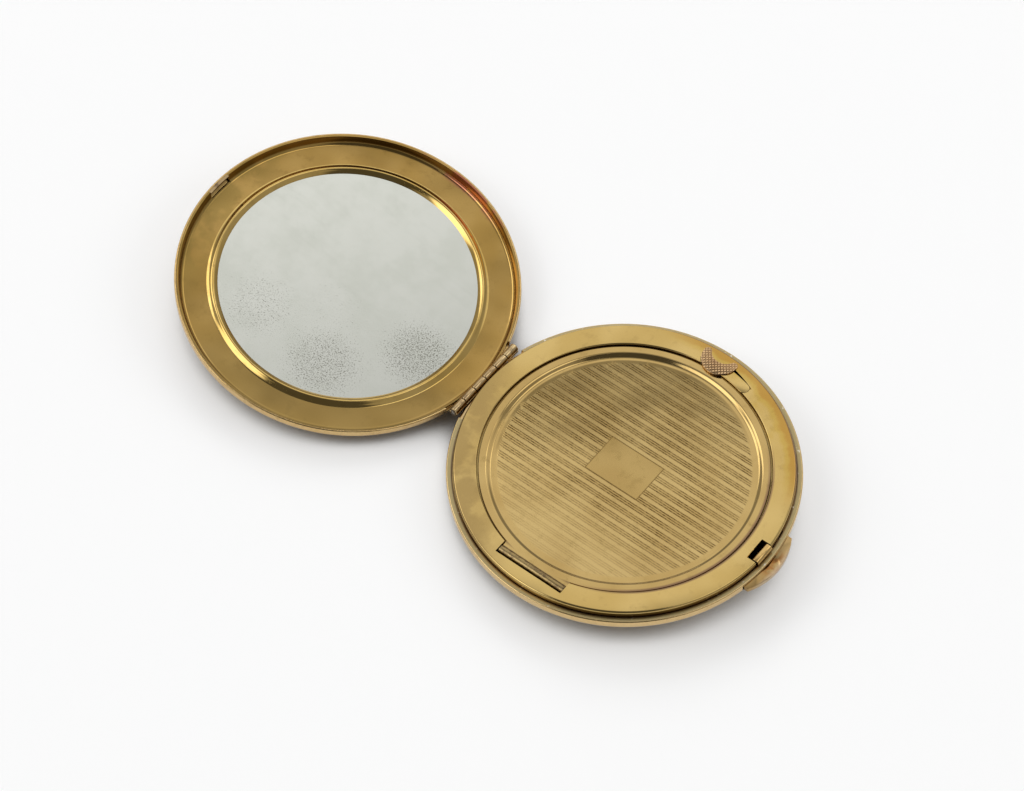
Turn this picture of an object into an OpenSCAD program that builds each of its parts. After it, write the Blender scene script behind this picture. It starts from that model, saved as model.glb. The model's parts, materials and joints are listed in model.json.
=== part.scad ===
// Round powder compact, standing open, with a mirror in its lid and a hinged inner lid over its powder well.
// Each half is drawn in its own frame: the middle of the disc at the origin, the hinge at -X, +Z out of the
// open side, and z = 0 at the plane where the halves meet. Both halves are then set on the hinge axis.

/* [Shells] */
// Outer radius of both shells
shell_r = 40; // [36:0.5:44]
// Thickness of the shell's sheet
shell_t = 0.5; // [0.4:0.05:0.6]
// Depth of each half, from the meeting plane to the lowest point of its dome
shell_depth = 8; // [7.8:0.1:9.5]
// Height of the shell's straight side
side_h = 1.5; // [1.4:0.05:1.7]
// Radius of the shoulder between the straight side and the dome
shoulder_r = 1.5; // [1.2:0.05:1.8]
// Gap between the two rims when the lid is shut
rim_gap = 0.12; // [0.08:0.01:0.2]
// Rounding of the rim's outer edge
rim_edge_r = 0.3; // [0.15:0.05:0.4]
// Radius of the flat in the middle of the base's dome, which it stands on when shut
foot_r = 7; // [5:0.5:9]
// Width of the base's turned-in rim, the ledge round the deck
ledge_w = 1.4; // [1.3:0.05:1.5]

/* [Deck] */
// Gap between the ledge and the deck's wall
deck_gap = 0.1; // [0.05:0.01:0.2]
// Height of the deck above the meeting plane
deck_h = 1.6; // [1.45:0.05:1.7]
// Thickness of the deck's sheet
deck_t = 0.35; // [0.3:0.05:0.4]
// Rounding of the deck's outer edge
deck_edge_r = 0.6; // [0.5:0.05:0.8]
// Rounding of the deck's inner edge
neck_edge_r = 0.55; // [0.45:0.05:0.7]
// Width of the deck ring, from its outer wall to its opening
deck_w = 5.4; // [5.2:0.05:5.6]
// Width of the foot that the ledge holds down
deck_foot_w = 0.5; // [0.4:0.05:0.6]

/* [Powder well] */
// Width of the well's flange, under the deck's neck
pan_flange_w = 1.9; // [1.75:0.05:2.4]
// Thickness of the well's sheet
pan_t = 0.35; // [0.3:0.05:0.4]
// Height of the well's flange above the meeting plane
pan_top = 0.45; // [0.4:0.01:0.5]
// Radius between the well's wall and its floor
pan_fillet = 2; // [1.5:0.1:3]
// Gap between the well's floor and the shell below it
pan_gap = 0.3; // [0.2:0.05:0.6]

/* [Inner lid] */
// Radial gap round the inner lid
cover_gap = 0.35; // [0.33:0.01:0.45]
// Height of the inner lid's flange above the meeting plane
cover_h = 1; // [0.95:0.01:1.05]
// Thickness of the inner lid's sheet
cover_t = 0.35; // [0.3:0.05:0.4]
// Width of the flange, outside the first step
flange_w = 1.75; // [1.6:0.05:2]
// Distance from the first step to the second
step_pitch = 0.9; // [0.7:0.05:1.1]
// Drop of each step
step_drop = 0.28; // [0.2:0.01:0.32]
// Width of each step's slope
step_run = 0.25; // [0.15:0.01:0.35]
// Width of the plain band inside the second step
band_w = 1.2; // [1:0.05:1.6]
// Drop from the plain band to the engine-turned field
field_drop = 0.08; // [0.04:0.01:0.12]

/* [Inner hinge] */
// Outer radius of the rolled barrel
barrel_r = 1.1; // [1:0.05:1.2]
// Radius of the inner hinge's pin
barrel_pin_r = 0.45; // [0.4:0.01:0.5]
// Running clearance of the pin in the barrel
pin_gap = 0.05; // [0.03:0.01:0.08]
// How far the barrel's axis lies outside the inner lid's edge
barrel_out = 0.95; // [0.85:0.05:1.15]
// Height of the barrel's crown above the inner lid's flange
barrel_rise = 0.45; // [0.42:0.01:0.5]
// Length of the barrel
barrel_l = 17.6; // [15:0.1:19]
// Clearance at each end of the barrel
barrel_end_gap = 0.2; // [0.15:0.05:0.3]
// Gap between the barrel and the notch's outer edge
notch_gap = 0.5; // [0.4:0.05:0.6]
// Thickness of the bracket's sheet
bracket_t = 0.5; // [0.4:0.05:0.6]

/* [Inner catch] */
// Width of the sprung tongue
tongue_w = 2.6; // [2.4:0.05:2.7]
// Distance from the deck's opening out to the tongue's middle line
tongue_out = 1.15; // [1.1:0.05:1.25]
// Width of the tongue's arm, where it narrows under the pad
arm_w = 1; // [0.8:0.05:1.05]
// Direction of the step where the tongue narrows, from the latch
step_a = 84.5; // [84:0.1:85]
// Direction of the tongue's root, from the latch
root_a = 75; // [73:1:77]
// Angle that the tongue swings through
swing = 7; // [6.5:0.5:8]
// Clearance round the tongue
tongue_gap = 0.06; // [0.05:0.01:0.1]
// Radius of the pad's inner edge
pad_r = 4.5; // [4.4:0.05:4.6]
// How far the pad's lip reaches in over the inner lid's flange
lip_reach = 0.85; // [0.7:0.05:0.85]
// Radius of the hollow in the pad's outer edge
pad_hollow_r = 3.15; // [3:0.05:3.3]
// Width of the pad in its middle
pad_w = 3.25; // [3.2:0.05:3.4]
// Radius of the pad's round horns
horn_r = 0.9; // [0.85:0.01:0.95]
// Height of the pad's crown above the deck
pad_h = 0.34; // [0.3:0.01:0.36]
// Radius of the pad's crown on its inner side
pad_crown_r = 10; // [9.5:0.5:11]
// Radius of the pad's crown towards its horns
pad_back_r = 25; // [20:1:40]
// Distance from the pad's inner tip to the top of its crown
pad_crown_in = 2.65; // [2.55:0.05:2.75]
// Gap under the pad and under its lip
pad_gap = 0.06; // [0.05:0.01:0.08]
// Radius of the catch's pivot
pivot_r = 0.5; // [0.45:0.01:0.55]

/* [Latch] */
// Travel of the latch
latch_travel = 1; // [0.8:0.05:1.1]
// Width of the latch strip and its nose
nose_w = 5.2; // [4.8:0.1:5.4]
// Clearance at each side of the nose
nose_gap = 0.3; // [0.25:0.05:0.4]
// Radius of the nose's rolled edges
nose_r = 0.75; // [0.7:0.01:0.78]
// Depth of the nose, along its travel
nose_l = 1.95; // [1.85:0.05:2]
// How far the nose reaches out past the deck's wall
nose_reach = 0.45; // [0.42:0.01:0.5]
// Length of the latch window in the deck
window_l = 2.65; // [2.6:0.05:2.8]
// Thickness of the latch strip
strip_t = 0.4; // [0.35:0.01:0.42]
// Depth of the strip's top below the meeting plane
strip_z = 0.95; // [0.93:0.01:0.97]
// Length of the strip from its inner end to the thumb piece
strip_l = 4.55; // [4.4:0.05:4.6]
// Clearance under the strip
strip_gap = 0.05; // [0.04:0.01:0.08]
// Radius of the thumb piece in plan
thumb_r = 16; // [15:0.5:18]
// Width of the thumb piece, from one cut end to the other
thumb_w = 16.6; // [16:0.1:17]
// How far the thumb piece stands out of the shell
thumb_reach = 2.5; // [2.2:0.1:2.8]
// Thickness of the thumb piece
thumb_t = 1.15; // [1.1:0.01:1.2]
// Clearance above and below the thumb piece
thumb_gap = 0.09; // [0.07:0.01:0.1]
// Clearance at each end of the thumb piece's slot
thumb_end_gap = 0.3; // [0.2:0.05:0.4]
// Radius of the thumb piece's hollow
dish_r = 9; // [8:0.5:10]
// Depth of the thumb piece's hollow
dish_depth = 0.4; // [0.3:0.05:0.5]
// Thickness of the latch's bow spring
bow_t = 0.2; // [0.15:0.01:0.25]
// Radius of the bow spring
bow_r = 12; // [11.5:0.1:12.5]

/* [Lid] */
// Width of the crest between the shell and the sloped band
crest_w = 0.4; // [0.38:0.01:0.42]
// Thickness of the frame's sheet
frame_t = 0.35; // [0.3:0.05:0.35]
// Depth of the wide flat ring below the meeting plane
ring_depth = 2.1; // [2.05:0.01:2.15]
// Width of the sloped band, from the crest to the wide flat ring
slope_w = 1.4; // [1.35:0.05:1.5]
// Width of the wide flat ring, from the sloped band to the frame's opening
ring_w = 5.7; // [5.6:0.05:5.75]
// Radius of the cove between the ring and the sloped band
cove_r = 1; // [0.9:0.05:1]
// How far the bezel's foot lies over the flat ring
bezel_over = 0.65; // [0.5:0.05:0.8]
// Height of the bezel above the flat ring
bezel_h = 0.75; // [0.65:0.05:0.78]
// Width of the bezel's outer slope
bezel_slope_w = 1.25; // [1.1:0.05:1.35]
// Width of the bezel's crest
bezel_crest_w = 0.4; // [0.3:0.05:0.5]
// Width of the bezel's inner slope, down to the mirror
bezel_fall_w = 1; // [0.8:0.05:1.5]
// Thickness of the bezel's sheet
bezel_t = 0.3; // [0.25:0.05:0.3]
// Depth of the bezel's skirt below the flat ring
skirt_h = 0.8; // [0.6:0.05:1]
// Gap round the mirror
mirror_gap = 0.15; // [0.1:0.01:0.2]
// Thickness of the mirror's glass
mirror_t = 1.3; // [1.1:0.05:1.35]
// Thickness of the packing card
card_t = 0.65; // [0.5:0.05:0.7]
// Least gap between the packing card and the lid's shell
card_gap = 0.1; // [0.05:0.01:0.13]
// Width of the notch in the lid's rim, for the latch's nose
strike_w = 6.4; // [6.2:0.1:7]
// Thickness of the strike's lip
strike_t = 0.24; // [0.2:0.01:0.25]
// How far the strike's lip reaches in from the shell's wall
strike_reach = 0.75; // [0.65:0.05:0.78]
// Clearance round pieces that are soldered in place
seat_gap = 0.03; // [0.02:0.01:0.05]

/* [Hinge] */
// Angle between the halves when the lid stands open
open_angle = 172; // [170:0.5:174]
// Outer radius of the hinge's knuckles
knuckle_r = 1.05; // [1:0.01:1.08]
// Length of each knuckle
knuckle_l = 3.8; // [3:0.1:3.9]
// Number of knuckles, shared between the two leaves
knuckles = 6; // [4:2:6]
// Gap between neighbouring knuckles
knuckle_gap = 0.1; // [0.06:0.01:0.16]
// Radius of the hinge pin
pin_r = 0.6; // [0.55:0.01:0.62]
// Radius of the pin's peened ends
pin_head_r = 0.85; // [0.8:0.01:0.95]
// Thickness of the pin's peened ends
pin_head_t = 0.3; // [0.2:0.05:0.4]
// Depth of the pocket that is cut in the rims for the hinge
pocket_depth = 1.3; // [1.25:0.01:1.35]
// Clearance between the knuckles and the pocket
pocket_gap = 0.2; // [0.15:0.01:0.22]
// Depth of the leaf's lower edge below the meeting plane
leaf_depth = 1.7; // [1.6:0.01:1.72]
// Gap between the two shells at the open stop
stop_gap = 0.04; // [0.03:0.01:0.06]

/* [Hidden] */
$fn = 180;
// Steps along a section's arcs
arc_steps = 6;
dome_steps = 18;
// How far a cut runs past the face it opens
past = 2;

// Colours of the finishes
BRASS = [0.78, 0.64, 0.36];
BRIGHT_BRASS = [0.86, 0.74, 0.46];
DARK_BRASS = [0.55, 0.45, 0.28];
SILVERED = [0.80, 0.81, 0.78];
STEEL = [0.66, 0.67, 0.69];
CARD = [0.72, 0.66, 0.55];

// Shell: the dome meets the shoulder's arc smoothly
rim_z = -rim_gap / 2;
tilt = (180 - open_angle) / 2;
shoulder_x = shell_r - shoulder_r;
dome_drop = shell_depth - side_h;
dome_r = (shoulder_x ^ 2 + dome_drop ^ 2 - shoulder_r ^ 2) / (2 * (dome_drop - shoulder_r));
dome_z = dome_r - shell_depth;
dome_turn = asin(shoulder_x / (dome_r - shoulder_r));
wall_in_r = shell_r - shell_t;

// Hinge: the shells meet under the pocket at the open stop, and both domes then stand on z = 0
hinge_d = shell_r - pocket_depth * tan(tilt) + stop_gap;
hinge_z = dome_r - hinge_d * sin(tilt) - dome_z * cos(tilt);
hinge_half = knuckles * knuckle_l / 2;
pocket_half = hinge_half + pocket_gap;
pocket_in = hinge_d - knuckle_r - pocket_gap;
leaf_out_r = wall_in_r - seat_gap;

// Thumb piece: a half moon whose hidden edge stays behind the shell's wall
thumb_top = rim_z - shell_t - thumb_gap;
thumb_bottom = thumb_top - thumb_t;
thumb_tip = shell_r + thumb_reach;
thumb_mid = thumb_tip - thumb_r;

// Place of the hinge: the middle of the whole outline is at x = 0
lid_reach = (hinge_d + shoulder_x) * cos(tilt) + side_h * sin(tilt) + shoulder_r;
base_reach = (hinge_d + thumb_tip) * cos(tilt) - thumb_bottom * sin(tilt);
hinge_x = (lid_reach - base_reach) / 2;

// Deck and well
ledge_r = shell_r - ledge_w;
deck_r = ledge_r - deck_gap;
ledge_under = rim_z - shell_t;
deck_foot_r = deck_r + deck_foot_w;
well_open_r = deck_r - deck_w;
deck_under = deck_h - deck_t;
neck_r = well_open_r + deck_t;
pan_r = neck_r - pan_flange_w;
pan_floor_r = dome_r - shell_t - pan_gap - pan_t;
pan_fillet_x = pan_r - pan_fillet;
pan_fillet_z = dome_z - sqrt((pan_floor_r - pan_fillet) ^ 2 - pan_fillet_x ^ 2);
pan_turn = asin(pan_fillet_x / (pan_floor_r - pan_fillet));

// Inner lid and its hinge
cover_r = well_open_r - cover_gap;
step_1_r = cover_r - flange_w;
step_2_r = step_1_r - step_pitch;
field_r = step_2_r - band_w;
barrel_d = cover_r + barrel_out;
barrel_z = cover_h + barrel_rise - barrel_r;
notch_half = barrel_l / 2 + barrel_end_gap;
notch_d = barrel_d + barrel_r + notch_gap;
ear_in = notch_half + pin_gap;
ear_out = ear_in + bracket_t;
bracket_z = barrel_z - barrel_r - barrel_end_gap;
bracket_half = barrel_r - seat_gap;

// Inner catch
root_d = well_open_r + tongue_out;
root = root_d * [cos(root_a), sin(root_a)];
pad_y = cover_r - lip_reach + pad_r;
pad_hollow_y = pad_y - pad_r + pad_w + pad_hollow_r;
hollow_off = pad_hollow_y - pad_y;
horn_off = ((pad_r - horn_r) ^ 2 - (pad_hollow_r + horn_r) ^ 2 + hollow_off ^ 2) / (2 * hollow_off);
horn = [sqrt((pad_r - horn_r) ^ 2 - horn_off ^ 2), horn_off];
crown_y = pad_y - pad_r + pad_crown_in;
tongue_in_r = root_d - tongue_w / 2;
tongue_out_r = root_d + tongue_w / 2;
arm_out_r = tongue_in_r + arm_w;
arm_reach = norm(root - [0, arm_out_r]);
pad_z = deck_h + pad_gap;
lip_z = cover_h + 2 * pad_gap;
boss_z = deck_under - deck_t;
slot_z = boss_z - tongue_gap;

// Latch
window_in = deck_r - window_l;
nose_out = deck_r + nose_reach;
nose_x = nose_out - nose_r;
nose_back_x = nose_out - nose_l + nose_r;
nose_z = deck_h - nose_r + pad_gap;
riser_x = nose_x - nose_r - strip_t / 2;
thumb_in = deck_r - nose_reach;
strip_end = thumb_in - strip_l;
guide_z = -strip_z - strip_t - strip_gap;
thumb_half = thumb_w / 2;

// Lid
crest_r = wall_in_r - crest_w;
ring_r = crest_r - slope_w;
frame_open_r = ring_r - ring_w;
bezel_r = frame_open_r + bezel_over;
bezel_crest_r = bezel_r - bezel_slope_w;
mirror_show_r = bezel_crest_r - bezel_crest_w - bezel_fall_w;
mirror_r = frame_open_r - seat_gap - bezel_t - mirror_gap;
skirt_r = frame_open_r - seat_gap;
cove_z = cove_r - ring_depth;
strike_in = wall_in_r - strike_reach;

function arc(c, r, from, to, n = arc_steps, first = 0) =
    [for (i = [first:n]) c + r * [cos(from + (to - from) * i / n), sin(from + (to - from) * i / n)]];

function backwards(p) = [for (i = [len(p) - 1:-1:0]) p[i]];

// Section of the shell from its axis to its straight side, moved in by the sheet's thickness on the inside
function bowl_line(inset, start) = concat(
    arc([0, dome_z], dome_r - inset, asin(start / (dome_r - inset)) - 90, dome_turn - 90, dome_steps),
    arc([shoulder_x, -side_h], shoulder_r - inset, dome_turn - 90, 0, arc_steps, 1)
);

function rim_edge() = arc([shell_r - rim_edge_r, rim_z - rim_edge_r], rim_edge_r, 0, 90);

// Section of the well from its axis to its wall, moved out by the sheet's thickness for the outer face
function pan_line(outset) = concat(
    arc([0, dome_z], pan_floor_r + outset, -90, pan_turn - 90, dome_steps),
    arc([pan_fillet_x, pan_fillet_z], pan_fillet + outset, pan_turn - 90, 0, arc_steps, 1)
);

// Top of the inner lid's section, from its edge to its axis
function cover_line() = [
    [cover_r, cover_h],
    [step_1_r, cover_h],
    [step_1_r - step_run, cover_h - step_drop],
    [step_2_r, cover_h - step_drop],
    [step_2_r - step_run, cover_h - 2 * step_drop],
    [field_r + step_run, cover_h - 2 * step_drop],
    [field_r, cover_h - 2 * step_drop - field_drop],
    [0, cover_h - 2 * step_drop - field_drop]
];

// Sets a half on the hinge, tilted up so that its far side is the higher one
module on_hinge() {
    translate([hinge_x, 0, hinge_z]) rotate([0, -tilt, 0]) translate([hinge_d, 0, 0]) children();
}

module in_base() {
    on_hinge() children();
}

module in_lid() {
    translate([hinge_x, 0, 0]) rotate([0, 0, 180]) translate([-hinge_x, 0, 0]) on_hinge() children();
}

// A block between two corners
module block(low, high) {
    translate(low) cube(high - low);
}

// Space of the hinge in the rim of either half
module hinge_pocket() {
    block([-shell_r - past, -pocket_half, -pocket_depth], [-shoulder_x + shoulder_r * 2, pocket_half, past]);
}

// Space that the knuckles turn in, beside the deck or the frame
module knuckle_space(reach) {
    block([-shell_r - past, -pocket_half, -pocket_depth], [-reach, pocket_half, past]);
}

// Part of a flat ring, between two directions
module sector(out_r, in_r, from, to) {
    far = out_r / cos((to - from) / 2) + past;
    intersection() {
        difference() {
            circle(r = out_r);
            circle(r = in_r);
        }
        polygon([[0, 0], far * [cos(from), sin(from)], far * [cos(to), sin(to)]]);
    }
}

module ring(out_r, in_r, low, high) {
    translate([0, 0, low]) difference() {
        cylinder(r = out_r, h = high - low);
        translate([0, 0, -past]) cylinder(r = in_r, h = high - low + 2 * past);
    }
}

// Leaf of the hinge: a strip inside the rim, with every second knuckle rolled from it
module hinge_leaf() {
    strip_in_r = leaf_out_r - (knuckle_r - pin_r - pin_gap);
    tab_top = -pin_r - pin_gap;
    difference() {
        union() {
            intersection() {
                ring(leaf_out_r, strip_in_r, -leaf_depth, tab_top);
                block([-shell_r, -hinge_half, -leaf_depth], [-shell_r / 2, hinge_half, tab_top]);
            }
            for (i = [1:2:knuckles - 1]) {
                low = i * knuckle_l - hinge_half + knuckle_gap / 2;
                high = low + knuckle_l - knuckle_gap;
                translate([-hinge_d, high, 0]) rotate([90, 0, 0]) cylinder(r = knuckle_r, h = high - low);
                difference() {
                    block([-hinge_d, low, -knuckle_r], [-shell_r / 2, high, tab_top]);
                    translate([0, 0, -past]) cylinder(r = strip_in_r + seat_gap, h = 2 * past);
                }
            }
        }
        for (i = [0:2:knuckles - 1])
            translate([-hinge_d, (i + 1) * knuckle_l - hinge_half + knuckle_gap / 2, 0]) rotate([90, 0, 0])
                cylinder(r = knuckle_r + knuckle_gap, h = knuckle_l + knuckle_gap);
        translate([-hinge_d, hinge_half + past, 0]) rotate([90, 0, 0])
            cylinder(r = pin_r + pin_gap, h = 2 * (hinge_half + past));
    }
}

module lid_hinge_leaf() {
    color(DARK_BRASS) in_lid() hinge_leaf();
}

module base_hinge_leaf() {
    color(DARK_BRASS) in_base() hinge_leaf();
}

module hinge_pin() {
    color(STEEL) translate([hinge_x, 0, hinge_z]) rotate([90, 0, 0]) {
        cylinder(r = pin_r, h = 2 * hinge_half, center = true);
        for (side = [0, 1]) mirror([0, 0, side]) translate([0, 0, hinge_half]) {
            cylinder(r1 = pin_head_r, r2 = pin_r, h = pin_head_t);
        }
    }
}

module lid_shell() {
    section = concat(
        bowl_line(0, 0), rim_edge(), [[wall_in_r, rim_z]], backwards(bowl_line(shell_t, 0))
    );
    color(BRASS) in_lid() difference() {
        rotate_extrude() polygon(section);
        hinge_pocket();
    }
}

module lid_frame() {
    cove = [ring_r, cove_z];
    section = concat(
        [[leaf_out_r, rim_z], [crest_r, rim_z]],
        arc(cove, cove_r, 0, -90),
        [[frame_open_r, -ring_depth], [frame_open_r, -ring_depth - frame_t]],
        arc(cove, cove_r + frame_t, -90, 0),
        [[crest_r + frame_t, rim_z - frame_t], [leaf_out_r, rim_z - frame_t]]
    );
    color(BRIGHT_BRASS) in_lid() difference() {
        rotate_extrude() polygon(section);
        knuckle_space(pocket_in);
        difference() {
            hinge_pocket();
            translate([0, 0, -pocket_depth - past])
                cylinder(r = leaf_out_r - knuckle_r + pin_r, h = pocket_depth + 2 * past);
        }
        block([ring_r, -strike_w / 2, cove_z - cove_r + seat_gap], [shell_r + past, strike_w / 2, past]);
    }
}

// Bezel: a hollow pressed ring with a skirt that drops through the frame's opening
module mirror_bezel() {
    flank = atan2(bezel_h, bezel_slope_w);
    fall = atan2(bezel_h, bezel_fall_w);
    hollow_h = bezel_h - bezel_t;
    hollow_out = bezel_r - bezel_t / sin(flank);
    hollow_in = mirror_show_r + bezel_t / sin(fall);
    color(BRIGHT_BRASS) in_lid() translate([0, 0, -ring_depth]) {
        rotate_extrude() difference() {
            polygon([
                [mirror_show_r, 0], [bezel_r, 0], [bezel_crest_r, bezel_h],
                [bezel_crest_r - bezel_crest_w, bezel_h]
            ]);
            polygon([
                [hollow_in, 0], [hollow_out, 0],
                [hollow_out - hollow_h / tan(flank), hollow_h], [hollow_in + hollow_h / tan(fall), hollow_h]
            ]);
        }
        ring(skirt_r, skirt_r - bezel_t, -skirt_h, bezel_t);
    }
}

module mirror_glass() {
    color(SILVERED) in_lid() translate([0, 0, -ring_depth - mirror_t]) cylinder(r = mirror_r, h = mirror_t);
}

// Packing card: where the shell is shallow, its back is pressed to the dome
module mirror_card() {
    color(CARD) in_lid() intersection() {
        translate([0, 0, -ring_depth - mirror_t - card_t]) cylinder(r = mirror_r, h = card_t);
        translate([0, 0, dome_z]) sphere(r = dome_r - shell_t - card_gap);
    }
}

module lid_strike() {
    half = strike_w / 2 - seat_gap;
    color(DARK_BRASS) in_lid() intersection() {
        union() {
            ring(leaf_out_r, strike_in, rim_z - strike_t, rim_z);
            ring(leaf_out_r, leaf_out_r - strike_t, -leaf_depth, rim_z);
        }
        block([0, -half, -shell_depth], [shell_r, half, past]);
    }
}

module base_shell() {
    foot_z = dome_z - sqrt(dome_r ^ 2 - foot_r ^ 2);
    section = concat(
        [[0, foot_z]], bowl_line(0, foot_r), rim_edge(),
        [[ledge_r, rim_z], [ledge_r, ledge_under], [wall_in_r, ledge_under]],
        backwards(bowl_line(shell_t, 0))
    );
    slot_half = thumb_half + thumb_end_gap;
    slot_low = thumb_bottom - thumb_gap;
    color(BRASS) in_base() difference() {
        rotate_extrude() polygon(section);
        hinge_pocket();
        block([deck_r, -slot_half, slot_low], [shell_r + past, slot_half, ledge_under]);
        block([thumb_in - latch_travel, -slot_half, slot_low], [deck_r, slot_half, ledge_under]);
    }
}

module base_deck() {
    neck = [well_open_r + neck_edge_r, deck_h - neck_edge_r];
    edge = [deck_r - deck_edge_r, deck_h - deck_edge_r];
    foot_low = ledge_under - deck_t;
    section = concat(
        [[well_open_r, pan_top]],
        arc(neck, neck_edge_r, 180, 90),
        arc(edge, deck_edge_r, 90, 0),
        [[deck_r, ledge_under], [deck_foot_r, ledge_under]],
        [[deck_foot_r, foot_low], [deck_r - deck_t, foot_low]],
        arc(edge, deck_edge_r - deck_t, 0, 90),
        arc(neck, neck_edge_r - deck_t, 90, 180),
        [[neck_r, pan_top]]
    );
    window_half = nose_w / 2 + nose_gap;
    thumb_slot_half = thumb_half + thumb_end_gap;
    color(BRIGHT_BRASS) in_base() difference() {
        rotate_extrude() polygon(section);
        knuckle_space(pocket_in);
        block([window_in, -window_half, -shell_depth], [shell_r + past, window_half, deck_h + past]);
        block([window_in, -thumb_slot_half, -shell_depth], [shell_r + past, thumb_slot_half, ledge_under]);
        block([-notch_half, -notch_d, -shell_depth], [notch_half, -pan_r, deck_h + past]);
        catch_slot();
    }
}

// Room inside an outer edge of the tongue, at the end of its swing
module swung_out(edge_r) {
    translate(root) rotate(-swing) translate(-root) circle(r = edge_r + tongue_gap);
}

// Opening in the deck that the tongue and its lip swing in
module catch_slot() {
    lip_half = sqrt(pad_r ^ 2 - (pad_y - tongue_in_r) ^ 2);
    lip_out = tongue_in_r + (root[0] + lip_half) * sin(swing) + 2 * tongue_gap;
    translate([0, 0, slot_z]) linear_extrude(deck_h + past) {
        translate(root) circle(r = tongue_w / 2 + tongue_gap);
        intersection() {
            swung_out(tongue_out_r);
            sector(shell_r, tongue_in_r - tongue_gap, root_a, step_a + asin(2 * tongue_gap / tongue_in_r));
        }
        intersection() {
            swung_out(arm_out_r);
            translate(root) circle(r = arm_reach + tongue_gap);
            sector(shell_r, tongue_in_r - tongue_gap, root_a, root_a + 2 * (90 - root_a));
        }
        intersection() {
            translate([0, pad_y]) circle(r = pad_r + 2 * tongue_gap);
            circle(r = lip_out);
        }
    }
}

// The tongue narrows to an arm under the pad, so that the pad hides the room it swings in
module tongue_plan() {
    translate(root) circle(r = tongue_w / 2);
    sector(tongue_out_r, tongue_in_r, root_a, step_a);
    sector(arm_out_r, tongue_in_r, root_a, 90);
}

// Crescent with round horns, which touch both of its edges smoothly
module pad_plan() {
    side = shell_r * horn / norm(horn);
    translate([0, pad_y]) {
        difference() {
            intersection() {
                circle(r = pad_r);
                polygon([
                    [0, hollow_off], horn, side, [side[0], -shell_r],
                    [-side[0], -shell_r], [-side[0], side[1]], [-horn[0], horn[1]]
                ]);
            }
            translate([0, hollow_off]) circle(r = pad_hollow_r);
        }
        for (turn = [-1, 1]) translate([turn * horn[0], horn[1]]) circle(r = horn_r);
    }
}

// Side view of the pad's crown, along Y and Z
module crown_side() {
    translate([crown_y, deck_h + pad_h]) {
        translate([0, -pad_crown_r]) circle(r = pad_crown_r);
        intersection() {
            translate([0, -pad_back_r]) circle(r = pad_back_r);
            translate([0, -2 * pad_back_r]) square(2 * pad_back_r);
        }
    }
}

module catch_tongue() {
    color(BRIGHT_BRASS) in_base() difference() {
        union() {
            translate([0, 0, deck_under]) linear_extrude(deck_t) tongue_plan();
            translate([0, 0, deck_h]) linear_extrude(pad_gap) intersection() {
                tongue_plan();
                translate([0, pad_y]) circle(r = pad_r - tongue_gap);
            }
            translate([root[0], root[1], boss_z]) cylinder(r = tongue_w / 2, h = deck_h - boss_z);
        }
        translate([root[0], root[1], boss_z - past]) cylinder(r = pivot_r + pin_gap, h = deck_t + past);
    }
}

module catch_thumb() {
    color(BRIGHT_BRASS) in_base() intersection() {
        union() {
            translate([0, 0, pad_z]) linear_extrude(pad_h) pad_plan();
            translate([0, 0, lip_z]) linear_extrude(pad_z - lip_z) intersection() {
                pad_plan();
                circle(r = tongue_in_r);
            }
        }
        translate([-pad_r, 0, 0]) rotate([90, 0, 90]) linear_extrude(2 * pad_r) crown_side();
    }
}

module catch_plate() {
    cup_r = tongue_w;
    color(DARK_BRASS) in_base() difference() {
        translate([root[0], root[1], slot_z - deck_t]) cylinder(r = cup_r, h = deck_under - slot_z + deck_t);
        translate([root[0], root[1], slot_z]) cylinder(r = tongue_w / 2 + 2 * tongue_gap, h = past);
        translate([0, 0, -past]) cylinder(r = well_open_r + neck_edge_r, h = 3 * past);
        catch_slot();
    }
}

module catch_pivot() {
    color(STEEL) in_base() translate([root[0], root[1], slot_z])
        cylinder(r = pivot_r, h = boss_z + deck_t - tongue_gap - slot_z);
}

module powder_well() {
    flange_low = pan_top - pan_t;
    section = concat(
        pan_line(pan_t),
        [[pan_r + pan_t, flange_low], [neck_r, flange_low], [neck_r, pan_top], [pan_r, pan_top]],
        backwards(pan_line(0))
    );
    color(BRASS) in_base() difference() {
        rotate_extrude() polygon(section);
        difference() {
            block([-notch_half, -notch_d, flange_low - past], [notch_half, 0, pan_top + past]);
            translate([0, 0, -past]) cylinder(r = pan_r + pan_t, h = 3 * past);
        }
    }
}

module inner_lid() {
    section = concat(cover_line(), backwards([for (p = cover_line()) p - [0, cover_t]]));
    color(BRASS) in_base() difference() {
        union() {
            rotate_extrude() polygon(section);
            block([-barrel_l / 2, -barrel_d, cover_h - cover_t], [barrel_l / 2, -step_1_r, cover_h]);
            translate([-barrel_l / 2, -barrel_d, barrel_z]) rotate([0, 90, 0])
                cylinder(r = barrel_r, h = barrel_l);
        }
        translate([-barrel_l / 2 - past, -barrel_d, barrel_z]) rotate([0, 90, 0])
            cylinder(r = barrel_pin_r + pin_gap, h = barrel_l + 2 * past);
    }
}

module inner_hinge_bracket() {
    color(DARK_BRASS) in_base() difference() {
        union() {
            block([-ear_out, -barrel_d - bracket_half, bracket_z - bracket_t],
                [ear_out, -barrel_d + bracket_half, bracket_z]);
            for (side = [0, 1]) mirror([side, 0, 0])
                block([ear_in, -barrel_d - bracket_half, bracket_z - bracket_t],
                    [ear_out, -barrel_d + bracket_half, deck_under]);
        }
        translate([-ear_out - past, -barrel_d, barrel_z]) rotate([0, 90, 0])
            cylinder(r = barrel_pin_r, h = 2 * (ear_out + past));
    }
}

module inner_hinge_pin() {
    color(STEEL) in_base() translate([-ear_out, -barrel_d, barrel_z]) rotate([0, 90, 0])
        cylinder(r = barrel_pin_r, h = 2 * ear_out);
}

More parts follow.
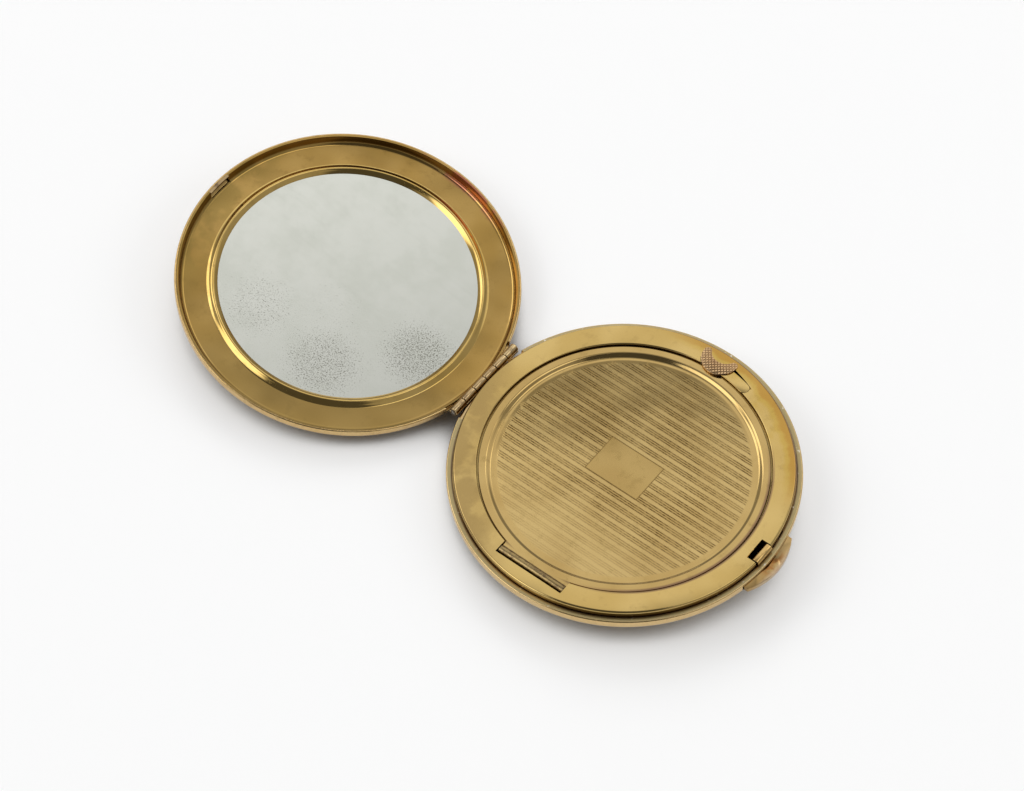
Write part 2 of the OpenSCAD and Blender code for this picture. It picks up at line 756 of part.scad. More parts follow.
// Rolled nose: the end of the strip, turned up and folded back on itself
module latch_slide() {
    color(BRIGHT_BRASS) in_base() translate([0, nose_w / 2, 0]) rotate([90, 0, 0]) linear_extrude(nose_w) {
        translate([strip_end, -strip_z - strip_t]) square([thumb_in - strip_end, strip_t]);
        translate([riser_x - strip_t / 2, -strip_z - strip_t / 2]) square([strip_t, nose_z + strip_z]);
        translate([nose_x, nose_z]) circle(r = nose_r);
        translate([nose_back_x, nose_z]) circle(r = nose_r);
        translate([nose_back_x, nose_z - nose_r]) square([nose_x - nose_back_x, 2 * nose_r]);
    }
}

module thumb_piece() {
    color(BRASS) in_base() difference() {
        intersection() {
            translate([thumb_mid, 0, thumb_bottom]) cylinder(r = thumb_r, h = thumb_t);
            block([thumb_in, -thumb_half, thumb_bottom], [thumb_tip, thumb_half, thumb_top]);
        }
        translate([shell_r, 0, thumb_top + dish_r - dish_depth]) sphere(r = dish_r);
    }
}

module latch_guide() {
    low = guide_z - strip_t;
    side_in = nose_w / 2 + nose_gap + seat_gap;
    side_out = side_in + strip_t;
    guide_in = strip_end + strip_t + latch_travel / 2;
    guide_out = window_in + nose_l / 2;
    color(DARK_BRASS) in_base() {
        block([guide_in, -side_out, low], [guide_out, side_out, guide_z]);
        for (side = [0, 1]) mirror([0, side, 0])
            block([guide_in, side_in, low], [guide_out, side_out, deck_under]);
    }
}

// Bow spring: its middle bears on the strip's inner end and its tips on the well's wall
module latch_spring() {
    mid_x = strip_end - seat_gap - bow_r;
    back_r = bow_r - bow_t;
    wall_r = pan_r + pan_t + seat_gap;
    half_a = acos((wall_r ^ 2 - mid_x ^ 2 - back_r ^ 2) / (2 * mid_x * back_r));
    color(STEEL) in_base() translate([mid_x, 0, -strip_z - strip_t]) linear_extrude(strip_t)
        polygon(concat(
            arc([0, 0], bow_r, -half_a, half_a, 2 * arc_steps),
            arc([0, 0], back_r, half_a, -half_a, 2 * arc_steps)
        ));
}

lid_shell();
lid_frame();
mirror_bezel();
mirror_glass();
mirror_card();
lid_strike();
lid_hinge_leaf();
hinge_pin();
base_hinge_leaf();
base_shell();
base_deck();
powder_well();
inner_hinge_bracket();
inner_hinge_pin();
latch_guide();
latch_spring();
catch_plate();
catch_pivot();
inner_lid();
catch_tongue();
catch_thumb();
latch_slide();
thumb_piece();
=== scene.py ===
# %% [markdown]
# # A brass powder compact with a mirror in its lid
#
# The compact stands open on a table. Its two halves are thin pressed brass, joined by a small hinge with six
# rolled knuckles. The lid holds a round mirror in a raised bezel. The base holds a powder well under a
# hinged inner lid, which a little sprung catch keeps shut, and a push latch for the lid.
#
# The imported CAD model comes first, because it says where every piece is. Round pressed pieces are then made
# again as smooth lathed meshes in the same place, since a gold surface shows every facet of a coarse mesh.

import json
from math import asin, atan2, cos, degrees, hypot, pi, radians, sin, sqrt, tan

import bmesh
import bpy
from mathutils import Matrix, Vector


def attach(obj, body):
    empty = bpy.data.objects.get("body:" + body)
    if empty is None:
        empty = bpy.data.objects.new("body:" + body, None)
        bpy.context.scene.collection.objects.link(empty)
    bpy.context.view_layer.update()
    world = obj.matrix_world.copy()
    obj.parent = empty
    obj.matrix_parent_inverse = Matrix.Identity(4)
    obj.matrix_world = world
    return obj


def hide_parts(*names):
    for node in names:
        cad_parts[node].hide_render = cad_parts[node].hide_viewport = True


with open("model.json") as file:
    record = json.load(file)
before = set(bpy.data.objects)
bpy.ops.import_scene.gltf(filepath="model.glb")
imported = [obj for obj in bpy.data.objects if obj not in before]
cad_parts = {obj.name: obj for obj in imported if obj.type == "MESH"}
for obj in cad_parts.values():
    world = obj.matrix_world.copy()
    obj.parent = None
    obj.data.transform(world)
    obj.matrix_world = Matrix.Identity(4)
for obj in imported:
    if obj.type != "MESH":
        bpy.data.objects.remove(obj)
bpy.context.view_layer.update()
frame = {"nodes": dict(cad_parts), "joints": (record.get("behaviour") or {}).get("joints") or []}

# %% [markdown]
# ## Sizes and the two half frames
#
# Both halves are drawn in millimetres in a frame of their own: the middle of the disc at the origin, the
# hinge at -X, and z = 0 at the plane where the halves meet. One matrix for each half then tilts it, moves it
# to the hinge and turns millimetres into metres. This keeps every profile as simple as a drawing on paper.

# %% Half frames
MM = 0.001
TILT = radians(4)
SHELL_R, SHELL_T, SHELL_DEPTH = 40.0, 0.5, 8.0
SIDE_H, SHOULDER_R, WALL_R = 1.5, 1.5, SHELL_R - SHELL_T
RIM_Z, LEDGE_R, LEDGE_LOW = -0.06, 38.6, -0.56
SHEET_T, FLAT_Z = 0.35, -2.1
DECK_R, DECK_H, DECK_EDGE_R = 38.5, 1.6, 0.5
WELL_OPEN_R, NECK_LOW, NECK_EDGE_R = 33.1, 0.45, 0.3
COVER_R, COVER_H = 32.75, 1.0
KNUCKLE_L, KNUCKLE_R, HINGE_HALF, PIN_R = 3.8, 1.05, 11.4, 0.6
POCKET_HALF, POCKET_DEPTH, STOP_GAP = 11.6, 1.3, 0.04
HINGE_D = SHELL_R - POCKET_DEPTH * tan(TILT) + STOP_GAP
STUD_PITCH, STUD_TURN, STUDS_Y = 0.66, radians(38), 34.55

joint_at = {j["name"]: Vector(j["pos_m"]) for j in frame["joints"] if "pos_m" in j}
hinge_at = joint_at["lid_hinge"]
in_base = (
    Matrix.Translation(hinge_at)
    @ Matrix.Rotation(-TILT, 4, "Y")
    @ Matrix.Translation((HINGE_D * MM, 0, 0))
    @ Matrix.Scale(MM, 4)
)
across_hinge = Vector((hinge_at.x, 0, 0))
in_lid = (
    Matrix.Translation(across_hinge)
    @ Matrix.Rotation(pi, 4, "Z")
    @ Matrix.Translation(-across_hinge)
    @ in_base
)
print("middle of the base:", in_base.translation, "middle of the lid:", in_lid.translation)

# %% [markdown]
# ## Helpers for meshes
#
# A pressed round piece is a profile turned about its axis, so `lathe` is the main tool. Slots and notches are
# cut with Boolean modifiers, exactly as a press tool would punch them. `PAST` takes a cutter well clear of
# the metal, so that no skin is left. `put` sets the result in its half, shades it smooth but keeps real edges
# crisp, and hides the CAD node it stands for.

# %% Mesh helpers
CRISP = radians(32)
BEVEL_STEPS = 3
PAST = 3


def new_object(name, mesh):
    """Adds an object to the scene."""
    made = bpy.data.objects.new(name, mesh)
    bpy.context.scene.collection.objects.link(made)
    return made


def to_mesh(bm):
    """Ends the work on a mesh."""
    mesh = bpy.data.meshes.new("shape")
    bm.to_mesh(mesh)
    bm.free()
    return mesh


def arc(x, z, radius, start, end, steps=12):
    """Points on an arc round (x, z), with angles in degrees."""
    angles = [radians(start + (end - start) * i / steps) for i in range(steps + 1)]
    return [(x + radius * cos(a), z + radius * sin(a)) for a in angles]


def lathe(profile, steps=360):
    """Turns a closed profile of (radius, height) about the axis."""
    bm = bmesh.new()
    rings = []
    turn = [2 * pi * i / steps for i in range(steps)]
    for radius, height in profile:
        if radius < 1e-6:
            rings.append([bm.verts.new((0, 0, height))] * steps)
            continue
        rings.append([bm.verts.new((radius * cos(a), radius * sin(a), height)) for a in turn])
    for ring, after in zip(rings, rings[1:] + rings[:1]):
        for i in range(steps):
            k = (i + 1) % steps
            corners = list(dict.fromkeys((ring[i], ring[k], after[k], after[i])))
            if len(corners) > 2:
                bm.faces.new(corners)
    bmesh.ops.remove_doubles(bm, verts=bm.verts, dist=1e-5)
    bmesh.ops.recalc_face_normals(bm, faces=bm.faces)
    return to_mesh(bm)


def block(low, high):
    """A box between two corners."""
    bm = bmesh.new()
    bmesh.ops.create_cube(bm, size=1)
    for v in bm.verts:
        v.co = Vector([(a + b) / 2 + c * (b - a) for a, b, c in zip(low, high, v.co)])
    return to_mesh(bm)


def slab(outline, low, high):
    """A flat outline raised from one height to another."""
    bm = bmesh.new()
    floor = [bm.verts.new((x, y, low)) for x, y in outline]
    roof = [bm.verts.new((x, y, high)) for x, y in outline]
    bm.faces.new(floor)
    bm.faces.new(roof)
    for i in range(len(outline)):
        k = (i + 1) % len(outline)
        bm.faces.new((floor[i], floor[k], roof[k], roof[i]))
    bmesh.ops.recalc_face_normals(bm, faces=bm.faces)
    return to_mesh(bm)


def rod(radius, start, end, steps=64):
    """A round bar from one point to another."""
    bm = bmesh.new()
    start, end = Vector(start), Vector(end)
    bmesh.ops.create_cone(
        bm, cap_ends=True, segments=steps, radius1=radius, radius2=radius, depth=(end - start).length
    )
    turn = (end - start).to_track_quat("Z", "Y").to_matrix().to_4x4()
    bm.transform(Matrix.Translation((start + end) / 2) @ turn)
    return to_mesh(bm)


def result_of(work, *tools):
    """What an object's modifiers make of it, as a plain mesh. The working objects are removed."""
    graph = bpy.context.evaluated_depsgraph_get()
    result = bpy.data.meshes.new_from_object(work.evaluated_get(graph))
    for used in (work, *tools):
        bpy.data.objects.remove(used)
    return result


def finished(mesh, cut=(), join=(), keep=(), bevel=0.0, bevel_angle=50):
    """Joins, cuts and bevels a mesh, and returns the result as a plain mesh."""
    work = new_object("work", mesh)
    tools = []
    for meshes, operation in ((join, "UNION"), (cut, "DIFFERENCE"), (keep, "INTERSECT")):
        for tool_mesh in meshes:
            tools.append(new_object("tool", tool_mesh))
            boolean = work.modifiers.new("boolean", "BOOLEAN")
            boolean.operation, boolean.object, boolean.solver = operation, tools[-1], "EXACT"
    if bevel:
        edge = work.modifiers.new("bevel", "BEVEL")
        edge.width, edge.segments, edge.limit_method = bevel, BEVEL_STEPS, "ANGLE"
        edge.angle_limit = radians(bevel_angle)
    return result_of(work, *tools)


def shade(mesh):
    """Smooth shading, with sharp edges kept crisp."""
    bm = bmesh.new()
    bm.from_mesh(mesh)
    bmesh.ops.remove_doubles(bm, verts=bm.verts, dist=1e-7)
    for face in bm.faces:
        face.smooth = True
    for edge in bm.edges:
        edge.smooth = len(edge.link_faces) == 2 and edge.calc_face_angle(0) < CRISP
    bm.to_mesh(mesh)
    bm.free()


def put(name, mesh, half, body, material, node):
    """Sets a mesh made in a half's frame in its place, and hides the CAD node that it stands for."""
    mesh.transform(half)
    shade(mesh)
    mesh.name = name
    mesh.materials.clear()
    mesh.materials.append(material)
    made = new_object(name, mesh)
    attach(made, body)
    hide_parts(node)
    print(name, len(mesh.polygons), "faces")


# %% [markdown]
# ## Helpers for materials
#
# Colours are picked as ordinary hex values, and one function turns them into the linear numbers that the
# shader needs. `add` puts one node in a tree with its settings and links. `on_half` gives coordinates in
# millimetres in a half's own frame, so that a pattern can be set out with a ruler, and stays put when the
# half moves.


# %% Material helpers
def colour(hex_value):
    """An sRGB hex colour as linear RGBA."""
    parts = [int(hex_value[i : i + 2], 16) / 255 for i in (1, 3, 5)]
    return (*[c / 12.92 if c <= 0.04045 else ((c + 0.055) / 1.055) ** 2.4 for c in parts], 1)


def add(tree, kind, inputs=None, **settings):
    """Adds one node, and sets or links its inputs. A node given as a value stands for its first output."""
    made = tree.nodes.new(kind)
    for key, value in settings.items():
        setattr(made, key, value)
    for key, value in (inputs or {}).items():
        if isinstance(value, bpy.types.Node):
            value = value.outputs[0]
        if isinstance(value, bpy.types.NodeSocket):
            tree.links.new(value, made.inputs[key])
        else:
            made.inputs[key].default_value = value
    return made


def maths(tree, operation, *values):
    """One step of arithmetic."""
    return add(tree, "ShaderNodeMath", dict(enumerate(values)), operation=operation).outputs[0]


def times(tree, first, *others):
    """The product of some values."""
    for other in others:
        first = maths(tree, "MULTIPLY", first, other)
    return first


def plus(tree, first, *others):
    """The sum of some values."""
    for other in others:
        first = maths(tree, "ADD", first, other)
    return first


def measure(tree, operation, first, second):
    """A number from two vectors, such as their distance."""
    return add(tree, "ShaderNodeVectorMath", {0: first, 1: second}, operation=operation).outputs["Value"]


def split(tree, vector):
    """The three parts of a vector."""
    return add(tree, "ShaderNodeSeparateXYZ", {0: vector}).outputs


def combine(tree, **parts):
    """A vector from its X, Y and Z."""
    return add(tree, "ShaderNodeCombineXYZ", parts).outputs[0]


def ramp(tree, value, low, high, to_low=0.0, to_high=1.0):
    """Maps a value from one range to another, smoothly and within it."""
    settings = {"Value": value, "From Min": low, "From Max": high, "To Min": to_low, "To Max": to_high}
    return add(tree, "ShaderNodeMapRange", settings, interpolation_type="SMOOTHSTEP").outputs[0]


def blend(tree, factor, first, second):
    """Mixes two colours."""
    return add(tree, "ShaderNodeMix", {0: factor, 6: first, 7: second}, data_type="RGBA").outputs[2]


def blend_in(tree, tint, *colour_marks):
    """Blends colours in. Each is an amount, a colour and masks whose product it follows."""
    for amount, hex_value, *masks in colour_marks:
        tint = blend(tree, times(tree, amount, *masks), tint, colour(hex_value))
    return tint


def noise(tree, place, scale, detail=3.0, rough=0.5):
    """Cloudy noise, with its scale per millimetre."""
    settings = {"Vector": place, "Scale": scale, "Detail": detail, "Roughness": rough}
    return add(tree, "ShaderNodeTexNoise", settings).outputs["Fac"]


def mapped(tree, vector, move=(0, 0, 0), turn=(0, 0, 0), size=(1, 1, 1), kind="POINT"):
    """Coordinates moved, turned and scaled. Uneven sizes draw noise out into streaks."""
    settings = {"Vector": vector, "Location": move, "Rotation": turn, "Scale": size}
    return add(tree, "ShaderNodeMapping", settings, vector_type=kind).outputs[0]


def on_half(tree, half):
    """Object coordinates turned into millimetres in a half's own frame."""
    move, turn, size = half.inverted().decompose()
    return mapped(tree, add(tree, "ShaderNodeTexCoord").outputs["Object"], move, turn.to_euler(), size)


def radius_of(tree, place):
    """Distance from the axis of the half."""
    parts = split(tree, place)
    squares = [maths(tree, "POWER", part, 2.0) for part in (parts[0], parts[1])]
    return maths(tree, "SQRT", plus(tree, *squares))


def towards_edge(tree, place, heading, low, high):
    """Grows from 0 to 1 along one direction of the half, between two distances from its middle."""
    angle = radians(heading)
    way = (cos(angle), sin(angle), 0)
    return ramp(tree, measure(tree, "DOT_PRODUCT", place, way), low, high)


def bump(tree, height, strength, distance, **under):
    """Height as a tilt of the surface."""
    settings = {"Height": height, "Strength": strength, "Distance": distance, **under}
    return add(tree, "ShaderNodeBump", settings).outputs[0]


def new_material(name):
    """An empty material and its tree."""
    made = bpy.data.materials.new(name)
    made.use_nodes = True
    made.node_tree.nodes.clear()
    print("material", name)
    return made, made.node_tree


def close(tree, tint, roughness, normal=None, metallic=1.0):
    """Ends a material in one principled shader."""
    inputs = {"Base Color": tint, "Metallic": metallic, "Roughness": roughness}
    if normal is not None:
        inputs["Normal"] = normal
    shader = add(tree, "ShaderNodeBsdfPrincipled", inputs)
    add(tree, "ShaderNodeOutputMaterial", {"Surface": shader})


# %% [markdown]
# ## Gold-plated brass
#
# The compact is pressed brass sheet, thinly gold plated and lacquered, and handled for decades. Pressed faces
# that were polished reflect softly, with a few fine rubbed scratches. Where the lacquer has gone the metal
# turns brown, and at some edges pink where copper shows. One function builds the common base: two close
# golds that drift over 10 to 20 mm, brown stains in small patches, scratches some tenths of a millimetre
# wide, roughness that follows the stains, and a sheet that is very slightly wavy. Each piece then has its own
# tones, and a function of its own for its wear, and for painted shade, sheen and glints where it has them.

# %% Brass
RELIEF = 0.04 * MM


def brass(name, half, light, deep, dirt, dirty, rough, scratch=0.25, wear_and_shade=None, waves=0.0004):
    """Plated and lacquered brass, with a piece's own marks and painted light added before the shader."""
    made, tree = new_material(name)
    place = on_half(tree, half)
    drift = ramp(tree, noise(tree, place, 0.07, 2), 0.35, 0.65)
    patches = ramp(tree, noise(tree, place, 0.33, 6, 0.62), 0.52, 0.72)
    rubs = ramp(tree, noise(tree, mapped(tree, place, size=(0.35, 5.0, 5.0)), 1.3, 4, 0.7), 0.62, 0.75)
    specks = ramp(tree, noise(tree, place, 2.6, 3, 0.6), 0.68, 0.78)
    tint = blend(tree, drift, colour(light), colour(deep))
    tint = blend_in(tree, tint, (dirty, dirt, patches), (dirty, dirt, specks))
    height = times(tree, rubs, -scratch)
    dull = plus(tree, patches, times(tree, rubs, 0.5))
    if wear_and_shade:
        tint, height, dull = wear_and_shade(tree, place, tint, height, dull)
    sheet = bump(tree, noise(tree, place, 0.06, 1), 1.0, waves)
    close(tree, tint, ramp(tree, dull, 0.0, 1.6, *rough), bump(tree, height, 0.35, RELIEF, Normal=sheet))
    return made


# %% [markdown]
# ## Tarnish and painted shade on the deck and the lid's rings
#
# Thin old lacquer shows colours where moist fingers touched it: yellow and orange films by the catch, with a
# purple-grey edge. The side towards the hinge has gone olive. Dirt sits on the neck's wall and on the outer
# wall. Painted shade darkens the near edge of the opening, and one side of the lid's frame. Each mark is a
# colour with a mask made of a direction, a radius and some noise. Directions are degrees in the half's own
# frame, where 0 points away from the hinge. The thumb piece is orange-brown in its dish, and the catch's pad
# is darker between its studs.

# %% Tarnish and painted shade
BY_CATCH, BY_HINGE, NEAR_SIDE = 66, 215, -12
# The first direction below is where the lid's frame is painted darker, as painted shade.
PAINTED_SHADE_SIDE, BY_STRIKE, SMUDGE = 112, 10, 262
DISH_MIDDLE = (40.2, 0.5, -1.0)


def deck_tarnish_and_shade(tree, place, tint, height, dull):
    """Films by the catch, olive by the hinge, dirt on the neck and outer wall, painted shade at the near
    edge.
    """
    out = radius_of(tree, place)
    cloud = noise(tree, place, 0.16, 3, 0.55)
    by_hinge = towards_edge(tree, place, BY_HINGE, 22, 34)
    by_catch = towards_edge(tree, place, BY_CATCH, 24, 34)
    near_side = towards_edge(tree, place, NEAR_SIDE, 14, 29)
    film = plus(tree, ramp(tree, out, DECK_R - 4, DECK_R + 0.1), times(tree, cloud, 1.4))
    tint = blend_in(
        tree,
        tint,
        (0.75, "#9C8252", by_hinge, ramp(tree, cloud, 0.3, 0.5, 0.4, 1.0)),
        (0.5, "#BC9A3A", by_catch, ramp(tree, film, 0.7, 1.1)),
        (0.5, "#AE7A36", by_catch, ramp(tree, film, 1.1, 1.45)),
        (0.6, "#6E5654", by_catch, ramp(tree, out, DECK_R - 0.6, DECK_R - 0.1)),
        (0.2, "#A88858", ramp(tree, out, WELL_OPEN_R + 0.12, WELL_OPEN_R + 0.02)),
        # Painted shade: a dark band along the near edge of the opening, next to the gap.
        (0.7, "#6A4A44", ramp(tree, out, WELL_OPEN_R + 0.7, WELL_OPEN_R + 0.25), near_side),
        (0.3, "#8A7450", ramp(tree, out, DECK_R - 0.1, DECK_R)),
    )
    return tint, height, dull


def frame_tarnish_and_shade(tree, place, tint, height, dull):
    """Painted shade on one side, a film by the strike, and a pink smudge where copper shows."""
    cloud = noise(tree, place, 0.14, 3, 0.55)
    wall = ramp(tree, radius_of(tree, place), 36.8, 38.0)
    tint = blend_in(
        tree,
        tint,
        # Painted shade: the frame drawn darker towards one side.
        (0.55, "#907A4A", towards_edge(tree, place, PAINTED_SHADE_SIDE, 8, 36)),
        (0.5, "#8F7A42", towards_edge(tree, place, BY_STRIKE, 26, 36), ramp(tree, cloud, 0.42, 0.6)),
        (0.7, "#B4605A", towards_edge(tree, place, SMUDGE, 36, 38.5), ramp(tree, cloud, 0.45, 0.55), wall),
    )
    return tint, height, dull


def thumb_wear(tree, place, tint, height, dull):
    """Orange-brown in the dish, and paler towards the outer edge."""
    cloud = ramp(tree, noise(tree, place, 0.7, 4, 0.6), 0.4, 0.55)
    dish = ramp(tree, measure(tree, "DISTANCE", place, DISH_MIDDLE), 4.6, 1.8)
    edge = ramp(tree, radius_of(tree, place), 41.2, 42.2)
    return blend_in(tree, tint, (0.75, "#9C6430", dish, cloud), (0.45, "#C4B49C", edge)), height, dull


def darker_between_studs(tree, place, tint, height, dull):
    """Darker between the studs, found by how far a point is from the middle of its cell in their grid."""
    on_grid = mapped(tree, place, (0, STUDS_Y, 0), (0, 0, STUD_TURN), (STUD_PITCH,) * 3, "TEXTURE")
    cells = split(tree, on_grid)
    off_middle = [maths(tree, "ABSOLUTE", maths(tree, "WRAP", cells[i], 0.5, -0.5)) for i in (0, 1)]
    between = ramp(tree, maths(tree, "MAXIMUM", *off_middle), 0.34, 0.44)
    return blend_in(tree, tint, (0.85, "#6A4A2C", between)), height, dull


deck_brass = brass(
    "deck_plated_brass", in_base, "#CFB271", "#C4A664", "#8E7444", 0.16, (0.13, 0.28),
    scratch=0.2, wear_and_shade=deck_tarnish_and_shade, waves=0.0007,
)
frame_brass = brass(
    "lid_frame_plated_brass", in_lid, "#BA9858", "#AC8A4A", "#7C6030", 0.2, (0.12, 0.26),
    scratch=0.2, wear_and_shade=frame_tarnish_and_shade,
)
nose_brass = brass("latch_nose_plated_brass", in_base, "#D2B072", "#C09A5C", "#7A5838", 0.4, (0.1, 0.22))
bezel_brass = brass("bezel_plated_brass", in_lid, "#D2B26C", "#C6A45C", "#86683A", 0.25, (0.08, 0.18))
knuckle_brass = brass("hinge_worn_brass", in_base, "#C8AE80", "#AC9068", "#5E4A42", 0.85, (0.16, 0.36))
thumb_brass = brass(
    "thumb_worn_brass", in_base, "#B89C6C", "#A88A58", "#86623E", 0.5, (0.16, 0.34), wear_and_shade=thumb_wear
)
pad_brass = brass(
    "catch_pad_bare_brass", in_base, "#DCB98A", "#CDA678", "#8A6448", 0.4, (0.26, 0.42), wear_and_shade=darker_between_studs
)
hidden_brass = brass("inner_sheet_brass", in_base, "#A8925C", "#937C4C", "#6E5838", 0.6, (0.3, 0.5))

# %% [markdown]
# ## The outer shells' finish
#
# The outside has been carried in a handbag: the plating is rubbed to a pale tone at the shoulder, with dark
# dirt in small pits. The same base is used, with wear that grows towards the shoulder. On the base, the
# turned-in ledge of the rim keeps a dull olive patina. Painted shade darkens its inner corner, and small pale
# spots on it are painted glints.


# %% Shell finish
def handbag_wear(tree, place, tint, height, dull):
    """Plating rubbed pale towards the shoulder, and dirt in pits."""
    shoulder = ramp(tree, split(tree, place)[2], -3.2, -0.8)
    grain = noise(tree, place, 1.1, 5, 0.62)
    rubbed = times(tree, ramp(tree, grain, 0.4, 0.6, 0.55, 1.0), shoulder)
    pits = ramp(tree, noise(tree, place, 3.1, 4, 0.7), 0.66, 0.74)
    tint = blend_in(tree, tint, (0.8, "#DABB84", rubbed), (0.5, "#6E583E", pits))
    height = plus(tree, height, times(tree, pits, -0.8))
    return tint, height, plus(tree, dull, times(tree, rubbed, 0.3))


def ledge_patina_shade_and_glints(tree, place, tint, height, dull):
    """The shell's rubbing and pits, patina on the ledge, painted shade in its inner corner, and painted
    glints.
    """
    tint, height, dull = handbag_wear(tree, place, tint, height, dull)
    out = radius_of(tree, place)
    ledge = times(tree, ramp(tree, split(tree, place)[2], -0.2, -0.09), ramp(tree, out, 39.85, 39.6))
    # Painted shade in the ledge's inner corner, by the deck's wall.
    corner = ramp(tree, out, LEDGE_R + 0.45, LEDGE_R + 0.15)
    # Painted glints: small pale spots along the ledge.
    painted_glints = ramp(tree, noise(tree, place, 0.55, 4, 0.7), 0.62, 0.68)
    colour_marks = (0.75, "#A2966E", ledge), (0.75, "#5E4A44", ledge, corner), (0.8, "#E4DECE", ledge, painted_glints)
    tint = blend_in(tree, tint, *colour_marks)
    return tint, height, plus(tree, dull, ledge)


base_shell_brass = brass(
    "base_shell_rubbed_brass", in_base, "#D0B684", "#C4A670", "#7E6038", 0.3, (0.18, 0.4),
    scratch=0.3, wear_and_shade=ledge_patina_shade_and_glints,
)
lid_shell_brass = brass(
    "lid_shell_rubbed_brass", in_lid, "#C8A768", "#BC9858", "#7E6038", 0.4, (0.2, 0.42),
    scratch=0.3, wear_and_shade=handbag_wear,
)

# %% [markdown]
# ## The engine-turned inner lid
#
# A ruling machine cuts groups of fine parallel lines into the sheet before it is plated. The groups run
# square to the hinge, one every 2.3 mm, with plain metal between them, and stop at a circle. A bare panel in
# the middle is left plain, with a thin incised border. The real lines are about 0.15 mm apart, too fine to
# show, so each group is drawn as three lines 0.54 mm apart. They are height for the bump and a darker tone,
# since old dirt sits in them, broken into dashes and fainter towards the inner hinge, where powder has
# scoured them. The plain strips between the groups are a little lighter, as a painted sheen. More dirt lies
# along the disc's edge and on the barrel, and painted shade darkens that edge on its near side.

# %% Engine-turned finish
FIELD_R, BAND_PITCH, BAND_SHIFT, LINE_PITCH = 28.9, 2.3, 1.1, 0.54
PANEL_X, PANEL_Y = 7.15, 5.15


def ruled_groups(tree, place, y):
    """Masks for the groups of lines, and for the dashed grooves in them."""
    bands = maths(tree, "DIVIDE", maths(tree, "SUBTRACT", y, BAND_SHIFT), BAND_PITCH)
    off_middle = maths(tree, "SUBTRACT", maths(tree, "FRACT", bands), 0.5)
    lines = plus(tree, times(tree, off_middle, BAND_PITCH / LINE_PITCH), 0.5)
    off_line = maths(tree, "ABSOLUTE", maths(tree, "SUBTRACT", maths(tree, "FRACT", lines), 0.5))
    dashes = noise(tree, mapped(tree, place, size=(1.5, 6.0, 1.0)), 1.0, 2)
    grooves = times(tree, ramp(tree, off_line, 0.4, 0.14), ramp(tree, dashes, 0.38, 0.6, 0.45, 1.0))
    return ramp(tree, maths(tree, "ABSOLUTE", off_middle), 0.35, 0.29), grooves


def panel_masks(tree, x, y):
    """Masks for all that lies outside the bare panel, and for the panel's border."""
    past_x = maths(tree, "SUBTRACT", maths(tree, "ABSOLUTE", x), PANEL_X)
    past_y = maths(tree, "SUBTRACT", maths(tree, "ABSOLUTE", y), PANEL_Y)
    past = maths(tree, "MAXIMUM", past_x, past_y)
    return ramp(tree, past, -0.05, 0.08), ramp(tree, maths(tree, "ABSOLUTE", past), 0.16, 0.05)


def engine_turned(tree, place, tint, height, dull):
    """The ruled field with its panel, painted sheen, dirt on edge and barrel, painted shade at the near edge.
    """
    parts = split(tree, place)
    out = radius_of(tree, place)
    upper_face = ramp(tree, parts[2], 0.15, 0.3)
    ruled, grooves = ruled_groups(tree, place, parts[1])
    outside_panel, border = panel_masks(tree, parts[0], parts[1])
    border = times(tree, border, upper_face)
    inside = times(tree, ramp(tree, out, FIELD_R - 0.05, FIELD_R - 0.6), upper_face)
    field = times(tree, inside, outside_panel)
    patchy = ramp(tree, noise(tree, place, 0.09, 3, 0.6), 0.35, 0.65, 0.65, 1.0)
    ruled = times(tree, ruled, field, patchy, ramp(tree, parts[1], -26.0, -8.0, 0.3, 1.0))
    cut = times(tree, grooves, ruled)
    disc = ramp(tree, parts[1], -32.4, -31.6)
    near_side = towards_edge(tree, place, NEAR_SIDE, 14, 29)
    barrel = ramp(tree, parts[1], -32.6, -32.9)
    tint = blend_in(
        tree,
        tint,
        (0.05, "#A98C50", ruled),
        (0.95, "#4C3618", cut),
        # Painted sheen: the plain strips between the groups are drawn lighter.
        (0.15, "#E0CA92", field, maths(tree, "SUBTRACT", 1.0, ruled)),
        (0.4, "#A88C54", maths(tree, "SUBTRACT", 1.0, outside_panel)),
        (0.7, "#6B5228", border),
        (0.6, "#6E5640", ramp(tree, out, COVER_R - 0.2, COVER_R - 0.03), disc),
        # Painted shade: a dark band along the disc's near edge, next to the gap.
        (0.7, "#6A4A44", ramp(tree, out, COVER_R - 0.8, COVER_R - 0.25), near_side, disc),
        (0.7, "#8E7C58", barrel),
        (0.7, "#5E4C3C", barrel, ramp(tree, noise(tree, place, 0.9, 5, 0.65), 0.45, 0.62)),
    )
    height = plus(tree, height, times(tree, cut, -1.0), times(tree, border, -1.5))
    return tint, height, plus(tree, dull, barrel, times(tree, inside, 0.7))


cover_brass = brass(
    "inner_lid_engine_turned_brass", in_base, "#C2A56A", "#B6985E", "#94783F", 0.16, (0.1, 0.36),
    scratch=0.2, wear_and_shade=engine_turned, waves=0.0006,
)

# %% [markdown]
# ## Silvered glass
#
# The mirror is plate glass, silvered on the back. Age has lifted the silver in tiny dark specks near the side
# that lay lowest, and a film of powder dulls it. The specks are noise, about 0.3 mm across, kept to a few
# patches, each with a middle, a reach and a strength. The powder film is a soft, slightly rough haze.

# %% Mirror
PATCHES = (((-9, 20, 0), 17, 1.0), ((-24, 4, 0), 16, 1.1), ((12, 18, 0), 16, 0.8), ((-2, 8, 0), 18, 0.5))

